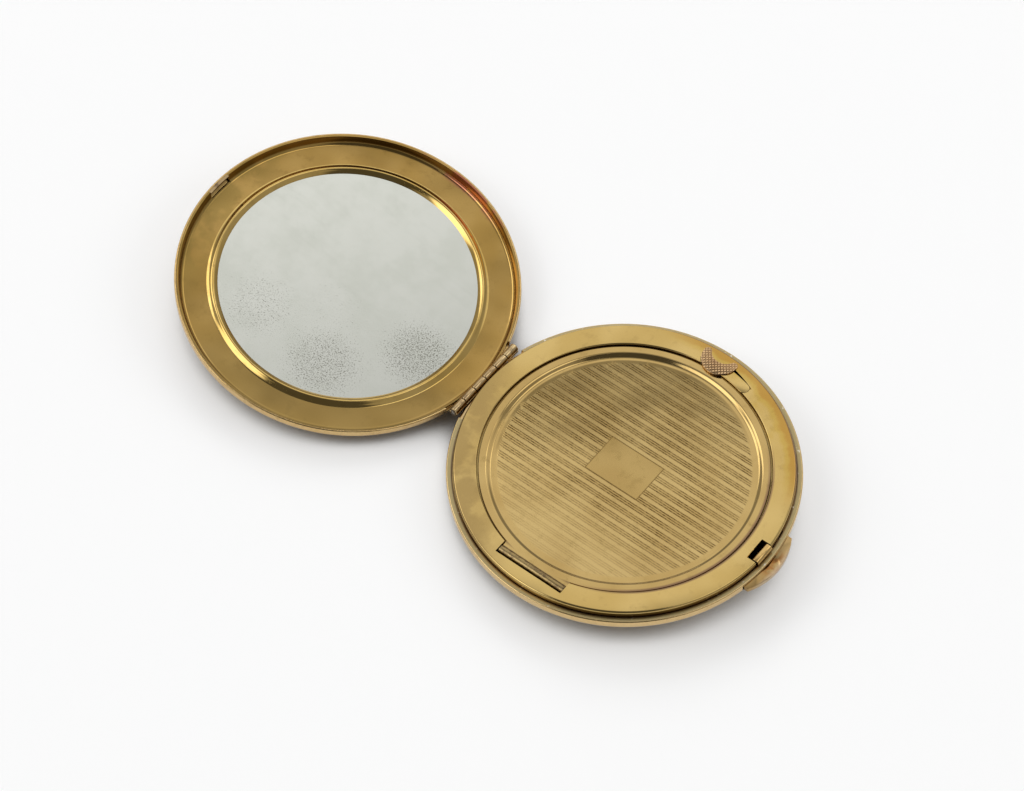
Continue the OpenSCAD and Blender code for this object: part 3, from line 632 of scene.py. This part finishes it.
silvered_glass, tree = new_material("silvered_glass")
place = on_half(tree, in_lid)
haze = ramp(tree, noise(tree, place, 0.09, 5, 0.6), 0.35, 0.7)
long_wipe = mapped(tree, place, turn=(0, 0, radians(35)), size=(0.06, 0.5, 1))
wipe = ramp(tree, noise(tree, long_wipe, 1.0, 4, 0.6), 0.5, 0.75)
film = plus(tree, times(tree, haze, 0.7), times(tree, wipe, 0.2))
spots = 0.0
for middle, reach, strength in PATCHES:
    near = ramp(tree, measure(tree, "DISTANCE", place, middle), reach, reach * 0.25, 0.0, strength)
    spots = maths(tree, "MAXIMUM", spots, near)
grit = noise(tree, place, 2.8, 4, 0.8)
specks = ramp(tree, plus(tree, grit, times(tree, spots, 0.19)), 0.7, 0.77)
tint = blend(tree, film, colour("#DFE0D7"), colour("#D7D9CE"))
tint = blend_in(tree, tint, (0.7, "#5A5648", specks))
close(tree, tint, plus(tree, times(tree, film, 0.16), times(tree, specks, 0.3), 0.06))

# %% [markdown]
# ## Steel and card
#
# The hinge pins and springs are drawn steel wire and strip, slightly brown. The packing behind the mirror is
# grey pressed card. Both hardly show, but each still has its own grain.

# %% Steel and card
drawn_steel, tree = new_material("drawn_steel_wire")
place = on_half(tree, in_base)
streak = noise(tree, mapped(tree, place, size=(4.0, 0.5, 4.0)), 2.0, 3)
tint = blend(tree, ramp(tree, streak, 0.4, 0.7), colour("#9A968E"), colour("#6E5F4C"))
close(tree, tint, ramp(tree, streak, 0.3, 0.7, 0.25, 0.45))

pressed_card, tree = new_material("pressed_card")
fibre = noise(tree, on_half(tree, in_lid), 1.4, 6, 0.7)
tint = blend(tree, ramp(tree, fibre, 0.35, 0.65), colour("#A89A80"), colour("#8C7E66"))
close(tree, tint, 0.85, bump(tree, fibre, 0.4, 0.05 * MM), metallic=0.0)

# %% [markdown]
# ## The shells
#
# Each shell is one pressed bowl: a long flat dome, a tight shoulder, a short straight side and a rim. The
# base's rim is turned in as a ledge round the deck, while the lid's is plain. The hinge's pocket and the
# thumb piece's slot are punched out.

# %% Shells
FOOT_R, RIM_EDGE_R, LEDGE_EDGE_R = 7.0, 0.3, 0.1
THUMB_LOW, THUMB_TOP, THUMB_GAP, THUMB_ROOM = -1.8, -0.65, 0.09, 8.6
SHOULDER_X, DOME_DROP = SHELL_R - SHOULDER_R, SHELL_DEPTH - SIDE_H
DOME_R = (SHOULDER_X**2 + DOME_DROP**2 - SHOULDER_R**2) / (2 * (DOME_DROP - SHOULDER_R))
DOME_Z = DOME_R - SHELL_DEPTH


def bowl(inset, start):
    """Dome and shoulder of the shell's section, from a first radius outwards."""
    turn = degrees(asin(SHOULDER_X / (DOME_R - SHOULDER_R)))
    first = degrees(asin(start / (DOME_R - inset)))
    dome = arc(0, DOME_Z, DOME_R - inset, first - 90, turn - 90, 48)
    return dome + arc(SHOULDER_X, -SIDE_H, SHOULDER_R - inset, turn - 90, 0, 14)[1:]


pocket = block((-SHELL_R - PAST, -POCKET_HALF, -POCKET_DEPTH), (-35, POCKET_HALF, PAST))
thumb_slot = block((35, -THUMB_ROOM, THUMB_LOW - THUMB_GAP), (45, THUMB_ROOM, LEDGE_LOW))
rim = arc(SHELL_R - RIM_EDGE_R, RIM_Z - RIM_EDGE_R, RIM_EDGE_R, 0, 90, 6)
inner_bowl = bowl(SHELL_T, 0)[::-1]
ledge = arc(LEDGE_R + LEDGE_EDGE_R, RIM_Z - LEDGE_EDGE_R, LEDGE_EDGE_R, 90, 180, 4)
ledge += [(LEDGE_R, LEDGE_LOW), (WALL_R, LEDGE_LOW)]
foot = bowl(0, FOOT_R)
shape = finished(lathe([(0, foot[0][1])] + foot + rim + ledge + inner_bowl), cut=[pocket, thumb_slot])
put("outer_shell_of_base", shape, in_base, "base", base_shell_brass, "base_shell")

plain_rim = [(WALL_R + 0.05, RIM_Z), (WALL_R, RIM_Z - 0.05)]
shape = finished(lathe(bowl(0, 0) + rim + plain_rim + inner_bowl), cut=[pocket])
put("outer_shell_of_lid", shape, in_lid, "lid", lid_shell_brass, "lid_shell")

# %% [markdown]
# ## The deck
#
# The deck is a pressed ring that stands 1.6 mm proud of the rim and plugs into the lid. It has a rolled inner
# neck, a window for the latch's nose, a notch for the inner hinge and a slot for the catch.

# %% Deck
ROOT_D, ROOT_A, STEP_A, SWING, GAP = 34.25, 75.0, 84.5, 7.0, 0.06
TONGUE_IN, TONGUE_OUT, ARM_OUT = 32.95, 35.55, 33.95
TONGUE_HALF, SLOT_LOW, LIP_ROOM_R = (TONGUE_OUT - TONGUE_IN) / 2, 0.84, 34.5
PAD_R, PAD_Y, HOLLOW_R, HOLLOW_Y, HORN_R = 4.5, 36.4, 3.15, 38.3, 0.9
WINDOW_IN, WINDOW_HALF, NOTCH_HALF, NOTCH_OUT = 35.85, 2.9, 9.0, 35.3
FINE_BEVEL = 0.05
root = Vector((ROOT_D * cos(radians(ROOT_A)), ROOT_D * sin(radians(ROOT_A))))


def ring_part(in_r, out_r, start, end, steps=24):
    """Outline of part of a flat ring, with angles in degrees."""
    return arc(0, 0, out_r, start, end, steps) + arc(0, 0, in_r, end, start, steps)


def swung_part(out_r, end, steps=16):
    """Outline of the room that part of the tongue needs as it swings out."""
    turn = Matrix.Rotation(-radians(SWING), 2)
    outer = [root + turn @ (Vector(p) - root) for p in arc(0, 0, out_r + GAP, ROOT_A - 2, end + 2, steps)]
    return [tuple(p) for p in outer] + arc(0, 0, TONGUE_IN - GAP, end, ROOT_A, steps)


def catch_slot():
    """Cutters for the space that the tongue and its lip swing in."""
    lip = [p for p in arc(0, PAD_Y, PAD_R + 2 * GAP, 180, 360, 64) if hypot(*p) < LIP_ROOM_R]
    ends = [degrees(atan2(y, x)) for x, y in (lip[-1], lip[0])]
    lip += arc(0, 0, LIP_ROOM_R, *ends, 12)[1:-1]
    root_room = rod(TONGUE_HALF + GAP, (root.x, root.y, SLOT_LOW), (root.x, root.y, PAST))
    plans = (swung_part(TONGUE_OUT, STEP_A + 0.3), swung_part(ARM_OUT, 90.1), lip)
    return [slab(plan, SLOT_LOW, PAST) for plan in plans] + [root_room]


neck_x, neck_z = WELL_OPEN_R + NECK_EDGE_R, DECK_H - NECK_EDGE_R
edge_x, edge_z = DECK_R - DECK_EDGE_R, DECK_H - DECK_EDGE_R
hem_r, hem_low = DECK_R + 0.5, LEDGE_LOW - SHEET_T
profile = (
    [(WELL_OPEN_R, NECK_LOW)]
    + arc(neck_x, neck_z, NECK_EDGE_R, 180, 90, 10)
    + arc(edge_x, edge_z, DECK_EDGE_R, 90, 0, 10)
    + [(DECK_R, LEDGE_LOW), (hem_r, LEDGE_LOW), (hem_r, hem_low), (DECK_R - SHEET_T, hem_low)]
    + arc(edge_x, edge_z, DECK_EDGE_R - SHEET_T, 0, 90, 6)
    + [(WELL_OPEN_R + SHEET_T, DECK_H - SHEET_T), (WELL_OPEN_R + SHEET_T, NECK_LOW)]
)
window = block((WINDOW_IN, -WINDOW_HALF, -SHELL_DEPTH), (43, WINDOW_HALF, 4))
thumb_space = block((WINDOW_IN, -THUMB_ROOM, -SHELL_DEPTH), (43, THUMB_ROOM, LEDGE_LOW))
notch = block((-NOTCH_HALF, -NOTCH_OUT, -SHELL_DEPTH), (NOTCH_HALF, -31.5, 4))
hinge_room = block((-43, -POCKET_HALF, -POCKET_DEPTH), (-38.7, POCKET_HALF, PAST))
punched = [window, thumb_space, notch, hinge_room] + catch_slot()
shape = finished(lathe(profile), cut=punched, bevel=FINE_BEVEL)
put("deck_ring", shape, in_base, "base", deck_brass, "base_deck")

# %% [markdown]
# ## The powder well and the inner lid
#
# The well is a shallow pan under the inner lid. The lid is one pressed disc, and its edge is rolled into a
# barrel round the hinge pin at one side. Its two small steps run into each other as one soft slope, because
# pressing rounds such small corners. A smooth S-curve gives that slope, and its reflections stay unbroken.

# %% Powder well and inner lid
# The floor follows the shell's dome, with a radius that is 0.01 mm less than the dome's.
FLOOR_DOME_R = 152.215
WELL_R, WELL_FILLET, WELL_GAP, FLANGE_R = 31.55, 2.0, 0.3, 33.45
floor_z = FLOOR_DOME_R - SHELL_DEPTH
floor_r = FLOOR_DOME_R - SHELL_T - WELL_GAP - SHEET_T
fillet_x = WELL_R - WELL_FILLET
fillet_z = floor_z - sqrt((floor_r - WELL_FILLET) ** 2 - fillet_x**2)
floor_turn = degrees(asin(fillet_x / (floor_r - WELL_FILLET)))


def pan(outset):
    """Floor and fillet of one face of the well, from its axis outwards."""
    floor_line = arc(0, floor_z, floor_r + outset, -90, floor_turn - 90, 32)
    return floor_line + arc(fillet_x, fillet_z, WELL_FILLET + outset, floor_turn - 90, 0, 10)[1:]


flange_low = NECK_LOW - SHEET_T
flange = [(WELL_R + SHEET_T, flange_low), (FLANGE_R, flange_low), (FLANGE_R, NECK_LOW)]
flange += [(WELL_R + 0.1, NECK_LOW), (WELL_R, NECK_LOW - 0.05)]
well_side = rod(WELL_R + SHEET_T, (0, 0, -4), (0, 0, 4), 360)
notch = finished(block((-NOTCH_HALF, -NOTCH_OUT, -2), (NOTCH_HALF, 0, 2)), cut=[well_side])
shape = finished(lathe(pan(SHEET_T) + flange + pan(0)[::-1], 288), cut=[notch])
put("powder_pan", shape, in_base, "base", hidden_brass, "powder_well")

SLOPE_OUT, SLOPE_W, SLOPE_DROP, SLOPE_STEPS = 31.5, 1.9, 0.56, 24
BAND_Z, FIELD_Z = 0.44, 0.36
BARREL_HALF, BARREL_Y, BARREL_Z, BARREL_R, BORE_R = 8.8, -33.7, 0.35, 1.1, 0.5
upper = [(COVER_R - 0.08, COVER_H)]
for i in range(SLOPE_STEPS + 1):
    share = i / SLOPE_STEPS
    fall = share - sin(2 * pi * share) / (2 * pi)
    upper.append((SLOPE_OUT - SLOPE_W * share, COVER_H - SLOPE_DROP * fall))
upper += [(FIELD_R + 0.25, BAND_Z), (FIELD_R, FIELD_Z), (0, FIELD_Z)]
under = [(max(r - 0.05, 0), z - SHEET_T) for r, z in upper]
profile = [(COVER_R, COVER_H - 0.08)] + upper + under[::-1] + [(COVER_R, COVER_H - SHEET_T + 0.05)]
neck_plate = block((-BARREL_HALF, -33.9, COVER_H - SHEET_T), (BARREL_HALF, -31.0, COVER_H))
barrel = rod(BARREL_R, (-BARREL_HALF, BARREL_Y, BARREL_Z), (BARREL_HALF, BARREL_Y, BARREL_Z), 96)
bore = rod(BORE_R, (-12, BARREL_Y, BARREL_Z), (12, BARREL_Y, BARREL_Z), 48)
seam = block((-10, -33.35, 1.28), (10, -33.2, 1.6))
shape = finished(lathe(profile), join=[neck_plate, barrel], cut=[bore, seam])
put("engine_turned_inner_lid", shape, in_base, "cover", cover_brass, "inner_lid")

# %% [markdown]
# ## The lid's frame and the bezel
#
# The frame is a pressed ring with a narrow crest, a steep slope, a small cove and a wide flat. The bezel is a
# smaller ring with a raised crest. Their curved parts catch the bright and dark sides of the room.

# %% Frame and bezel
FRAME_R, FRAME_IN, CREST_IN, COVE_X, COVE_R = 39.47, 32.0, 39.1, 37.7, 1.0
profile = (
    [(FRAME_R, RIM_Z), (CREST_IN, RIM_Z)]
    + arc(COVE_X, FLAT_Z + COVE_R, COVE_R, 0, -90, 14)
    + [(FRAME_IN, FLAT_Z), (FRAME_IN, FLAT_Z - SHEET_T)]
    + arc(COVE_X, FLAT_Z + COVE_R, COVE_R + SHEET_T, -90, 0, 10)
    + [(FRAME_R - 0.02, RIM_Z - SHEET_T), (FRAME_R, RIM_Z - SHEET_T)]
)
strike_notch = block((COVE_X, -3.2, FLAT_Z + 0.03), (43, 3.2, PAST))
shape = finished(lathe(profile), cut=[hinge_room, strike_notch])
put("frame_ring_of_lid", shape, in_lid, "lid", frame_brass, "lid_frame")

crest = [(32.65, FLAT_Z), (32.3, -2.02), (31.75, -1.62), (31.45, -1.4), (31.3, -1.35), (31.1, -1.35)]
crest += [(30.95, -1.4), (30.4, -1.78), (30.0, FLAT_Z), (30.3, FLAT_Z), (31.0, -1.65), (31.3, -1.65)]
crest += [(31.67, -1.9), (31.67, -2.9), (31.97, -2.9), (31.97, FLAT_Z)]
put("mirror_bezel_ring", lathe(crest), in_lid, "lid", bezel_brass, "mirror_bezel")

# %% [markdown]
# ## The hinge, with geometry nodes
#
# Each leaf has three knuckles, rolled from the sheet, at one pitch along the pin. Such a row is just what
# Geometry Nodes are for: an arc is swept with the sheet's section to make one rolled knuckle, a line of
# points sets the pitch, and the knuckle is placed on each. The leaf's strip is the mesh that the tree starts
# from. The result is turned into a plain mesh before it is used. The catch's studs are made the same way.

# %% Knuckle tree
LEAF_T, LEAF_TURN, LEAF_TOP, LEAF_LOW = 0.4, 16.75, -0.65, -1.7
LEAF_OUT_R = WALL_R - 0.03
END_GAP, END_EDGE_R = 0.1, 0.14


def new_tree(name, sizes):
    """A tree that starts from a mesh, with a named input for each size."""
    tree = bpy.data.node_groups.new(name, "GeometryNodeTree")
    for direction in ("INPUT", "OUTPUT"):
        tree.interface.new_socket("Geometry", in_out=direction, socket_type="NodeSocketGeometry")
    for key, value in sizes.items():
        kind = "NodeSocketInt" if isinstance(value, int) else "NodeSocketFloat"
        tree.interface.new_socket(key, in_out="INPUT", socket_type=kind).default_value = value
    return tree, tree.nodes.new("NodeGroupInput").outputs


def end_tree(tree, given, points, piece, material):
    """Puts a piece on every point and joins them with the mesh that the tree started from."""
    copies = {"Points": points, "Instance": piece}
    placed = add(tree, "GeometryNodeInstanceOnPoints", copies)
    real = add(tree, "GeometryNodeRealizeInstances", {"Geometry": placed})
    joined = add(tree, "GeometryNodeJoinGeometry")
    tree.links.new(real.outputs[0], joined.inputs[0])
    tree.links.new(given["Geometry"], joined.inputs[0])
    painted = add(tree, "GeometryNodeSetMaterial", {"Geometry": joined, "Material": material})
    add(tree, "NodeGroupOutput", {"Geometry": painted})
    print("tree", tree.name, "with", len(tree.nodes), "nodes")


def grow(mesh, tree):
    """Runs a tree on a mesh and returns the result as a plain mesh."""
    work = new_object("work", mesh)
    work.modifiers.new("tree", "NODES").node_group = tree
    return result_of(work)


rolled, given = new_tree(
    "rolled_knuckles",
    {
        "Sheet": LEAF_T,
        "Roll radius": KNUCKLE_R - LEAF_T / 2,
        "Length": KNUCKLE_L - END_GAP,
        "Pitch": 2 * KNUCKLE_L,
        "First": 1.5 * KNUCKLE_L - HINGE_HALF,
        "Count": 3,
    },
)
sweep = {"Resolution": 56, "Radius": given["Roll radius"], "Sweep Angle": radians(338)}
roll = add(rolled, "GeometryNodeCurveArc", sweep)
sides = {"Width": given["Sheet"], "Height": given["Length"]}
section = add(rolled, "GeometryNodeCurvePrimitiveQuadrilateral", sides)
rounding = {"Curve": section, "Count": 3, "Radius": END_EDGE_R}
section = add(rolled, "GeometryNodeFilletCurve", rounding, mode="POLY")
curves = {"Curve": roll, "Profile Curve": section, "Fill Caps": True}
tube = add(rolled, "GeometryNodeCurveToMesh", curves)
lying = add(rolled, "GeometryNodeTransform", {"Geometry": tube, "Rotation": (pi / 2, 0, 0)})
line = {"Count": given["Count"], "Start Location": combine(rolled, Y=given["First"])}
line["Offset"] = combine(rolled, Y=given["Pitch"])
row = add(rolled, "GeometryNodeMeshLine", line)
end_tree(rolled, given, row, lying, knuckle_brass)

# %% Hinge leaves and pin
wall = ring_part(LEAF_OUT_R - LEAF_T, LEAF_OUT_R, 180 - LEAF_TURN, 180 + LEAF_TURN)
spans = [(KNUCKLE_L * i - HINGE_HALF, KNUCKLE_L * (i + 1) - HINGE_HALF) for i in range(6)]
tabs = [block((-HINGE_D, a + 0.05, -KNUCKLE_R), (-38.95, b - 0.05, LEAF_TOP - 0.01)) for a, b in spans[1::2]]
gaps = [rod(KNUCKLE_R + 0.1, (-HINGE_D, a - 0.05, 0), (-HINGE_D, b + 0.05, 0), 48) for a, b in spans[::2]]
pin_room = rod(PIN_R + 0.06, (-HINGE_D, -13, 0), (-HINGE_D, 13, 0))
strip = finished(slab(wall, LEAF_LOW, LEAF_TOP), join=tabs, cut=gaps + [pin_room])
strip.transform(Matrix.Translation((HINGE_D, 0, 0)))
leaf = grow(strip, rolled)
leaf.transform(Matrix.Translation((-HINGE_D, 0, 0)))
put("hinge_leaf_of_base", leaf.copy(), in_base, "base", knuckle_brass, "base_hinge_leaf")
put("hinge_leaf_of_lid", leaf.copy(), in_lid, "lid", knuckle_brass, "lid_hinge_leaf")

head_z = HINGE_HALF + 0.1
head = [(x, head_z + (z - head_z) * 0.3) for x, z in arc(0, head_z, PIN_R, 0, 90, 8)]
low_end = [(x, -z) for x, z in head[::-1]] + [(PIN_R + 0.02, -HINGE_HALF), (PIN_R, -HINGE_HALF)]
shape = lathe(low_end + [(x, -z) for x, z in low_end[::-1]], 48)
shape.transform(Matrix.Rotation(pi / 2, 4, "X"))
pin_at = Matrix.Translation(hinge_at) @ Matrix.Scale(MM, 4)
put("wire_hinge_pin", shape, pin_at, "wire_pin", drawn_steel, "hinge_pin")

# %% [markdown]
# ## The inner catch
#
# A narrow tongue in the deck carries a crescent pad, which the thumb pushes outwards. The pad is knurled with
# small rounded studs 0.66 mm apart. Geometry Nodes lay them out on a slanted grid, drop those that fall
# outside the crescent and raise the rest onto the pad's crown.

# %% Catch
HORN_X, HORN_Y = 3.599, PAD_Y + 0.046
CROWN_TOP, CROWN_IN_R, CROWN_OUT_R = 1.94, 10, 25
GRID_CELLS, STUD_SINK = 20, 0.05

tongue = arc(root.x, root.y, TONGUE_HALF, ROOT_A - 180, ROOT_A, 16)
tongue += arc(0, 0, TONGUE_OUT, ROOT_A, STEP_A, 12)[1:] + arc(0, 0, ARM_OUT, STEP_A, 90, 8)
tongue += arc(0, 0, TONGUE_IN, 90, ROOT_A, 20)[:-1]
shape = finished(slab(tongue, DECK_H - SHEET_T, DECK_H), bevel=FINE_BEVEL)
put("sprung_tongue", shape, in_base, "catch", deck_brass, "catch_tongue")

side_turn = degrees(atan2(HORN_Y - PAD_Y, HORN_X))
hollow_turn = degrees(atan2(HORN_Y - HOLLOW_Y, HORN_X))
crescent = arc(0, PAD_Y, PAD_R, 180 - side_turn, 360 + side_turn, 64)
crescent += arc(HORN_X, HORN_Y, HORN_R, side_turn, 180 + hollow_turn, 14)[1:]
crescent += arc(0, HOLLOW_Y, HOLLOW_R, hollow_turn, -180 - hollow_turn, 32)[1:]
crescent += arc(-HORN_X, HORN_Y, HORN_R, -hollow_turn, 180 - side_turn, 14)[1:-1]
crown = arc(STUDS_Y, CROWN_TOP - CROWN_IN_R, CROWN_IN_R, 115, 90, 12)
crown += arc(STUDS_Y, CROWN_TOP - CROWN_OUT_R, CROWN_OUT_R, 90, 80, 8)[1:] + [(38.9, 0), (30.3, 0)]
crown = slab([(-z, y) for y, z in crown], -5, 5)
crown.transform(Matrix.Rotation(pi / 2, 4, "Y"))
over_deck = slab(ring_part(TONGUE_IN, 45, 60, 120), 0.5, DECK_H + GAP)
body = slab(crescent, COVER_H + 2 * GAP, 2.6)
body = finished(body, cut=[over_deck], keep=[crown], bevel=0.07, bevel_angle=40)

studs, given = new_tree(
    "knurled_studs", {"Pitch": STUD_PITCH, "Stud radius": 0.3, "Stud height": 0.5, "Edge": 0.3}
)
size = times(studs, given["Pitch"], GRID_CELLS)
extent = {"Size X": size, "Size Y": size, "Vertices X": GRID_CELLS + 1, "Vertices Y": GRID_CELLS + 1}
grid = add(studs, "GeometryNodeMeshGrid", extent)
slanted = {"Geometry": grid, "Rotation": (0, 0, STUD_TURN), "Translation": (0, STUDS_Y, 0)}
turned = add(studs, "GeometryNodeTransform", slanted)
parts = split(studs, add(studs, "GeometryNodeInputPosition").outputs[0])
flat = combine(studs, X=parts[0], Y=parts[1])
to_pad = measure(studs, "DISTANCE", flat, (0, PAD_Y, 0))
to_hollow = measure(studs, "DISTANCE", flat, (0, HOLLOW_Y, 0))
past_side = maths(studs, "GREATER_THAN", plus(studs, to_pad, given["Edge"]), PAD_R)
in_hollow = maths(studs, "LESS_THAN", maths(studs, "SUBTRACT", to_hollow, given["Edge"]), HOLLOW_R)
past_horn = maths(studs, "GREATER_THAN", plus(studs, parts[1], given["Edge"]), HORN_Y + HORN_R)
lost = maths(studs, "MAXIMUM", maths(studs, "MAXIMUM", past_side, in_hollow), past_horn)
kept = add(studs, "GeometryNodeDeleteGeometry", {"Geometry": turned, "Selection": lost})
beyond = maths(studs, "SUBTRACT", parts[1], STUDS_Y)
flatter = times(studs, maths(studs, "GREATER_THAN", beyond, 0.0), 2 * (CROWN_OUT_R - CROWN_IN_R))
fall = maths(studs, "DIVIDE", maths(studs, "POWER", beyond, 2.0), plus(studs, 2 * CROWN_IN_R, flatter))
height = maths(studs, "SUBTRACT", CROWN_TOP - STUD_SINK, fall)
on_crown = {"Geometry": kept, "Position": combine(studs, X=parts[0], Y=parts[1], Z=height)}
raised = add(studs, "GeometryNodeSetPosition", on_crown)
ball = add(studs, "GeometryNodeMeshIcoSphere", {"Radius": given["Stud radius"], "Subdivisions": 3})
squat = combine(studs, X=1.0, Y=1.0, Z=given["Stud height"])
stud = add(studs, "GeometryNodeTransform", {"Geometry": ball, "Scale": squat})
end_tree(studs, given, raised, stud, pad_brass)
put("crescent_pad", grow(body, studs), in_base, "catch", pad_brass, "catch_thumb")

# %% [markdown]
# ## The latch
#
# The nose is the end of a strip, turned up and rolled over, so its section is a stadium. The thumb piece is a
# blunt-ended half moon with a shallow dish for the thumb, worn orange-brown where it is pressed.

# %% Latch
NOSE_R, NOSE_Z, NOSE_X, NOSE_BACK, NOSE_HALF = 0.75, 0.91, 38.2, 37.75, 2.6
MOON_R, MOON_X, MOON_IN, MOON_HALF = 16, 26.5, 38.05, 8.3
DISH_R, DISH_DEPTH = 9, 0.4

nose = arc(NOSE_X, NOSE_Z, NOSE_R, -90, 90, 20) + arc(NOSE_BACK, NOSE_Z, NOSE_R, 90, 270, 20)
shape = slab(nose, -NOSE_HALF, NOSE_HALF)
shape.transform(Matrix.Rotation(pi / 2, 4, "X"))
strip = block((33.5, -NOSE_HALF, -1.35), (MOON_IN, NOSE_HALF, -0.95))
riser = block((37.25, -NOSE_HALF, -1.2), (37.65, NOSE_HALF, 0.9))
shape = finished(shape, join=[riser, strip], bevel=0.06)
put("rolled_nose_and_strip", shape, in_base, "latch", nose_brass, "latch_slide")

tip_turn = degrees(asin(MOON_HALF / MOON_R))
moon = [(MOON_IN, -MOON_HALF)] + arc(MOON_X, 0, MOON_R, -tip_turn, tip_turn, 64) + [(MOON_IN, MOON_HALF)]
dish = lathe([(0, 0)] + arc(0, 0, DISH_R, -90, 0, 24) + [(0, 0.01)], 128)
dish.transform(Matrix.Translation((40.0, 0, THUMB_TOP + DISH_R - DISH_DEPTH)))
shape = finished(slab(moon, THUMB_LOW, THUMB_TOP), cut=[dish], bevel=0.12, bevel_angle=40)
put("dished_thumb_piece", shape, in_base, "latch", thumb_brass, "thumb_piece")

# %% [markdown]
# ## Pieces that keep their CAD shape
#
# Flat or hidden pieces are right as the CAD gives them, so they only get their finish.

# %% CAD pieces
finishes = {
    silvered_glass: ("mirror_glass",),
    pressed_card: ("mirror_card",),
    knuckle_brass: ("lid_strike",),
    hidden_brass: ("inner_hinge_bracket", "latch_guide", "catch_plate"),
    drawn_steel: ("inner_hinge_pin", "latch_spring", "catch_pivot"),
}
for material, nodes in finishes.items():
    for node in nodes:
        mesh = frame["nodes"][node].data
        mesh.materials.clear()
        mesh.materials.append(material)
print(sum(len(nodes) for nodes in finishes.values()), "CAD pieces finished")

# %% [markdown]
# ## The camera
#
# The photograph looks down at the compact from about 58 degrees above the table, with a long lens. The
# camera's place, turn and lens were worked out from the rings of both halves, which show as ellipses.

# %% Camera
optics = bpy.data.cameras.new("camera")
optics.sensor_width = 36
optics.lens = 136.74
optics.clip_start, optics.clip_end = 0.05, 20
camera = new_object("camera", optics)
camera.location = (0.266537, -0.384652, 0.756396)
camera.rotation_euler = (0.552963, -0.042848, 0.663373)
bpy.context.scene.camera = camera
print("camera", round(camera.location.length, 3), "m from the middle")

# %% [markdown]
# ## Table and light
#
# Gold only looks like gold when it has something to reflect. The room is a grey tent, a little darker low
# down, with soft bright panels and two dark patches. The largest panel is a window that the base's flat deck
# reflects. It ends just short of what the lid's ring reflects, so the base is the brighter half, as
# photographed. Five small panels only show in rounded edges and slopes, and draw the thin bright lines there.
# The dark patches stand for the photographer and the camera, and draw the dark lines.
#
# Three weak lamps light the table from three sides. Metal doesn't reflect them, as the panels do that work.
# A photograph made for a white page is lit until the table is nearly white, and only the places close under
# the object stay darker. The table glows a little for that, except where it is covered from above. The glow
# is only seen, directly or in the metal, and lights nothing else.

# %% Table and light
TABLE_SIZE, COVER_REACH, GLOW = 6, 0.03, 0.45
DARKEST, LAMP_SIZE = 0.1, 1.0
# Each panel is a direction, the two angles from it between which the panel fades out, and a strength.
PANELS = (
    ((-0.52, 0.60, 0.60), 20, 32, 0.6),
    ((-0.74, -0.02, 0.67), 10, 17, 1.9),
    ((0.17, 0.29, 0.94), 9, 15, 1.2),
    ((-0.46, -0.50, 0.73), 12, 20, 1.9),
    ((-0.05, 0.64, 0.77), 4, 9, 1.2),
    ((0.14, 0.77, 0.62), 10, 20, 0.5),
    ((0.05, -0.33, 0.94), 21, 28, -0.42),
    ((0.36, -0.68, 0.64), 20, 30, -0.38),
)

bm = bmesh.new()
bmesh.ops.create_grid(bm, x_segments=2, y_segments=2, size=TABLE_SIZE)
table = new_object("table", to_mesh(bm))
white_table, tree = new_material("white_table")
paths = add(tree, "ShaderNodeLightPath").outputs
seen = maths(tree, "MAXIMUM", paths["Is Camera Ray"], paths["Is Glossy Ray"])
open_to_sky = add(tree, "ShaderNodeAmbientOcclusion", {"Distance": COVER_REACH}, samples=12).outputs["AO"]
white = times(tree, seen, GLOW, ramp(tree, open_to_sky, 0.34, 0.58))
paper = add(tree, "ShaderNodeBsdfDiffuse", {"Color": colour("#C0C0C0")})
glow = add(tree, "ShaderNodeEmission", {"Strength": white})
both = add(tree, "ShaderNodeAddShader", {0: paper, 1: glow})
add(tree, "ShaderNodeOutputMaterial", {"Surface": both})
table.data.materials.append(white_table)

world = bpy.data.worlds.new("room")
bpy.context.scene.world = world
world.use_nodes = True
tree = world.node_tree
tree.nodes.clear()
direction = add(tree, "ShaderNodeTexCoord").outputs["Generated"]
level = ramp(tree, split(tree, direction)[2], 0.0, 0.5, 0.32, 0.44)
for towards, inner, outer, strength in PANELS:
    facing = measure(tree, "DOT_PRODUCT", direction, Vector(towards).normalized())
    fade = (cos(radians(outer)), cos(radians(inner)))
    level = plus(tree, level, ramp(tree, facing, *fade, 0.0, strength))
level = maths(tree, "MAXIMUM", level, DARKEST)
sky = add(tree, "ShaderNodeBackground", {"Color": colour("#FFFFFF"), "Strength": level})
add(tree, "ShaderNodeOutputWorld", {"Surface": sky})
print("room with", len(PANELS), "panels")

for name, place, power in (
    ("back_softbox", (-1.13, 1.44, 1.54), 9.0),
    ("left_softbox", (-1.37, -1.07, 1.15), 8.0),
    ("right_softbox", (1.37, 1.07, 1.15), 8.0),
):
    light = bpy.data.lights.new(name, "AREA")
    light.shape, light.size, light.energy = "SQUARE", LAMP_SIZE, power
    lamp = new_object(name, light)
    lamp.location = place
    lamp.rotation_euler = (-Vector(place)).to_track_quat("-Z", "Y").to_euler()
    lamp.visible_glossy = False
    print(name, power, "watts")
bpy.context.scene.view_settings.view_transform = "Standard"
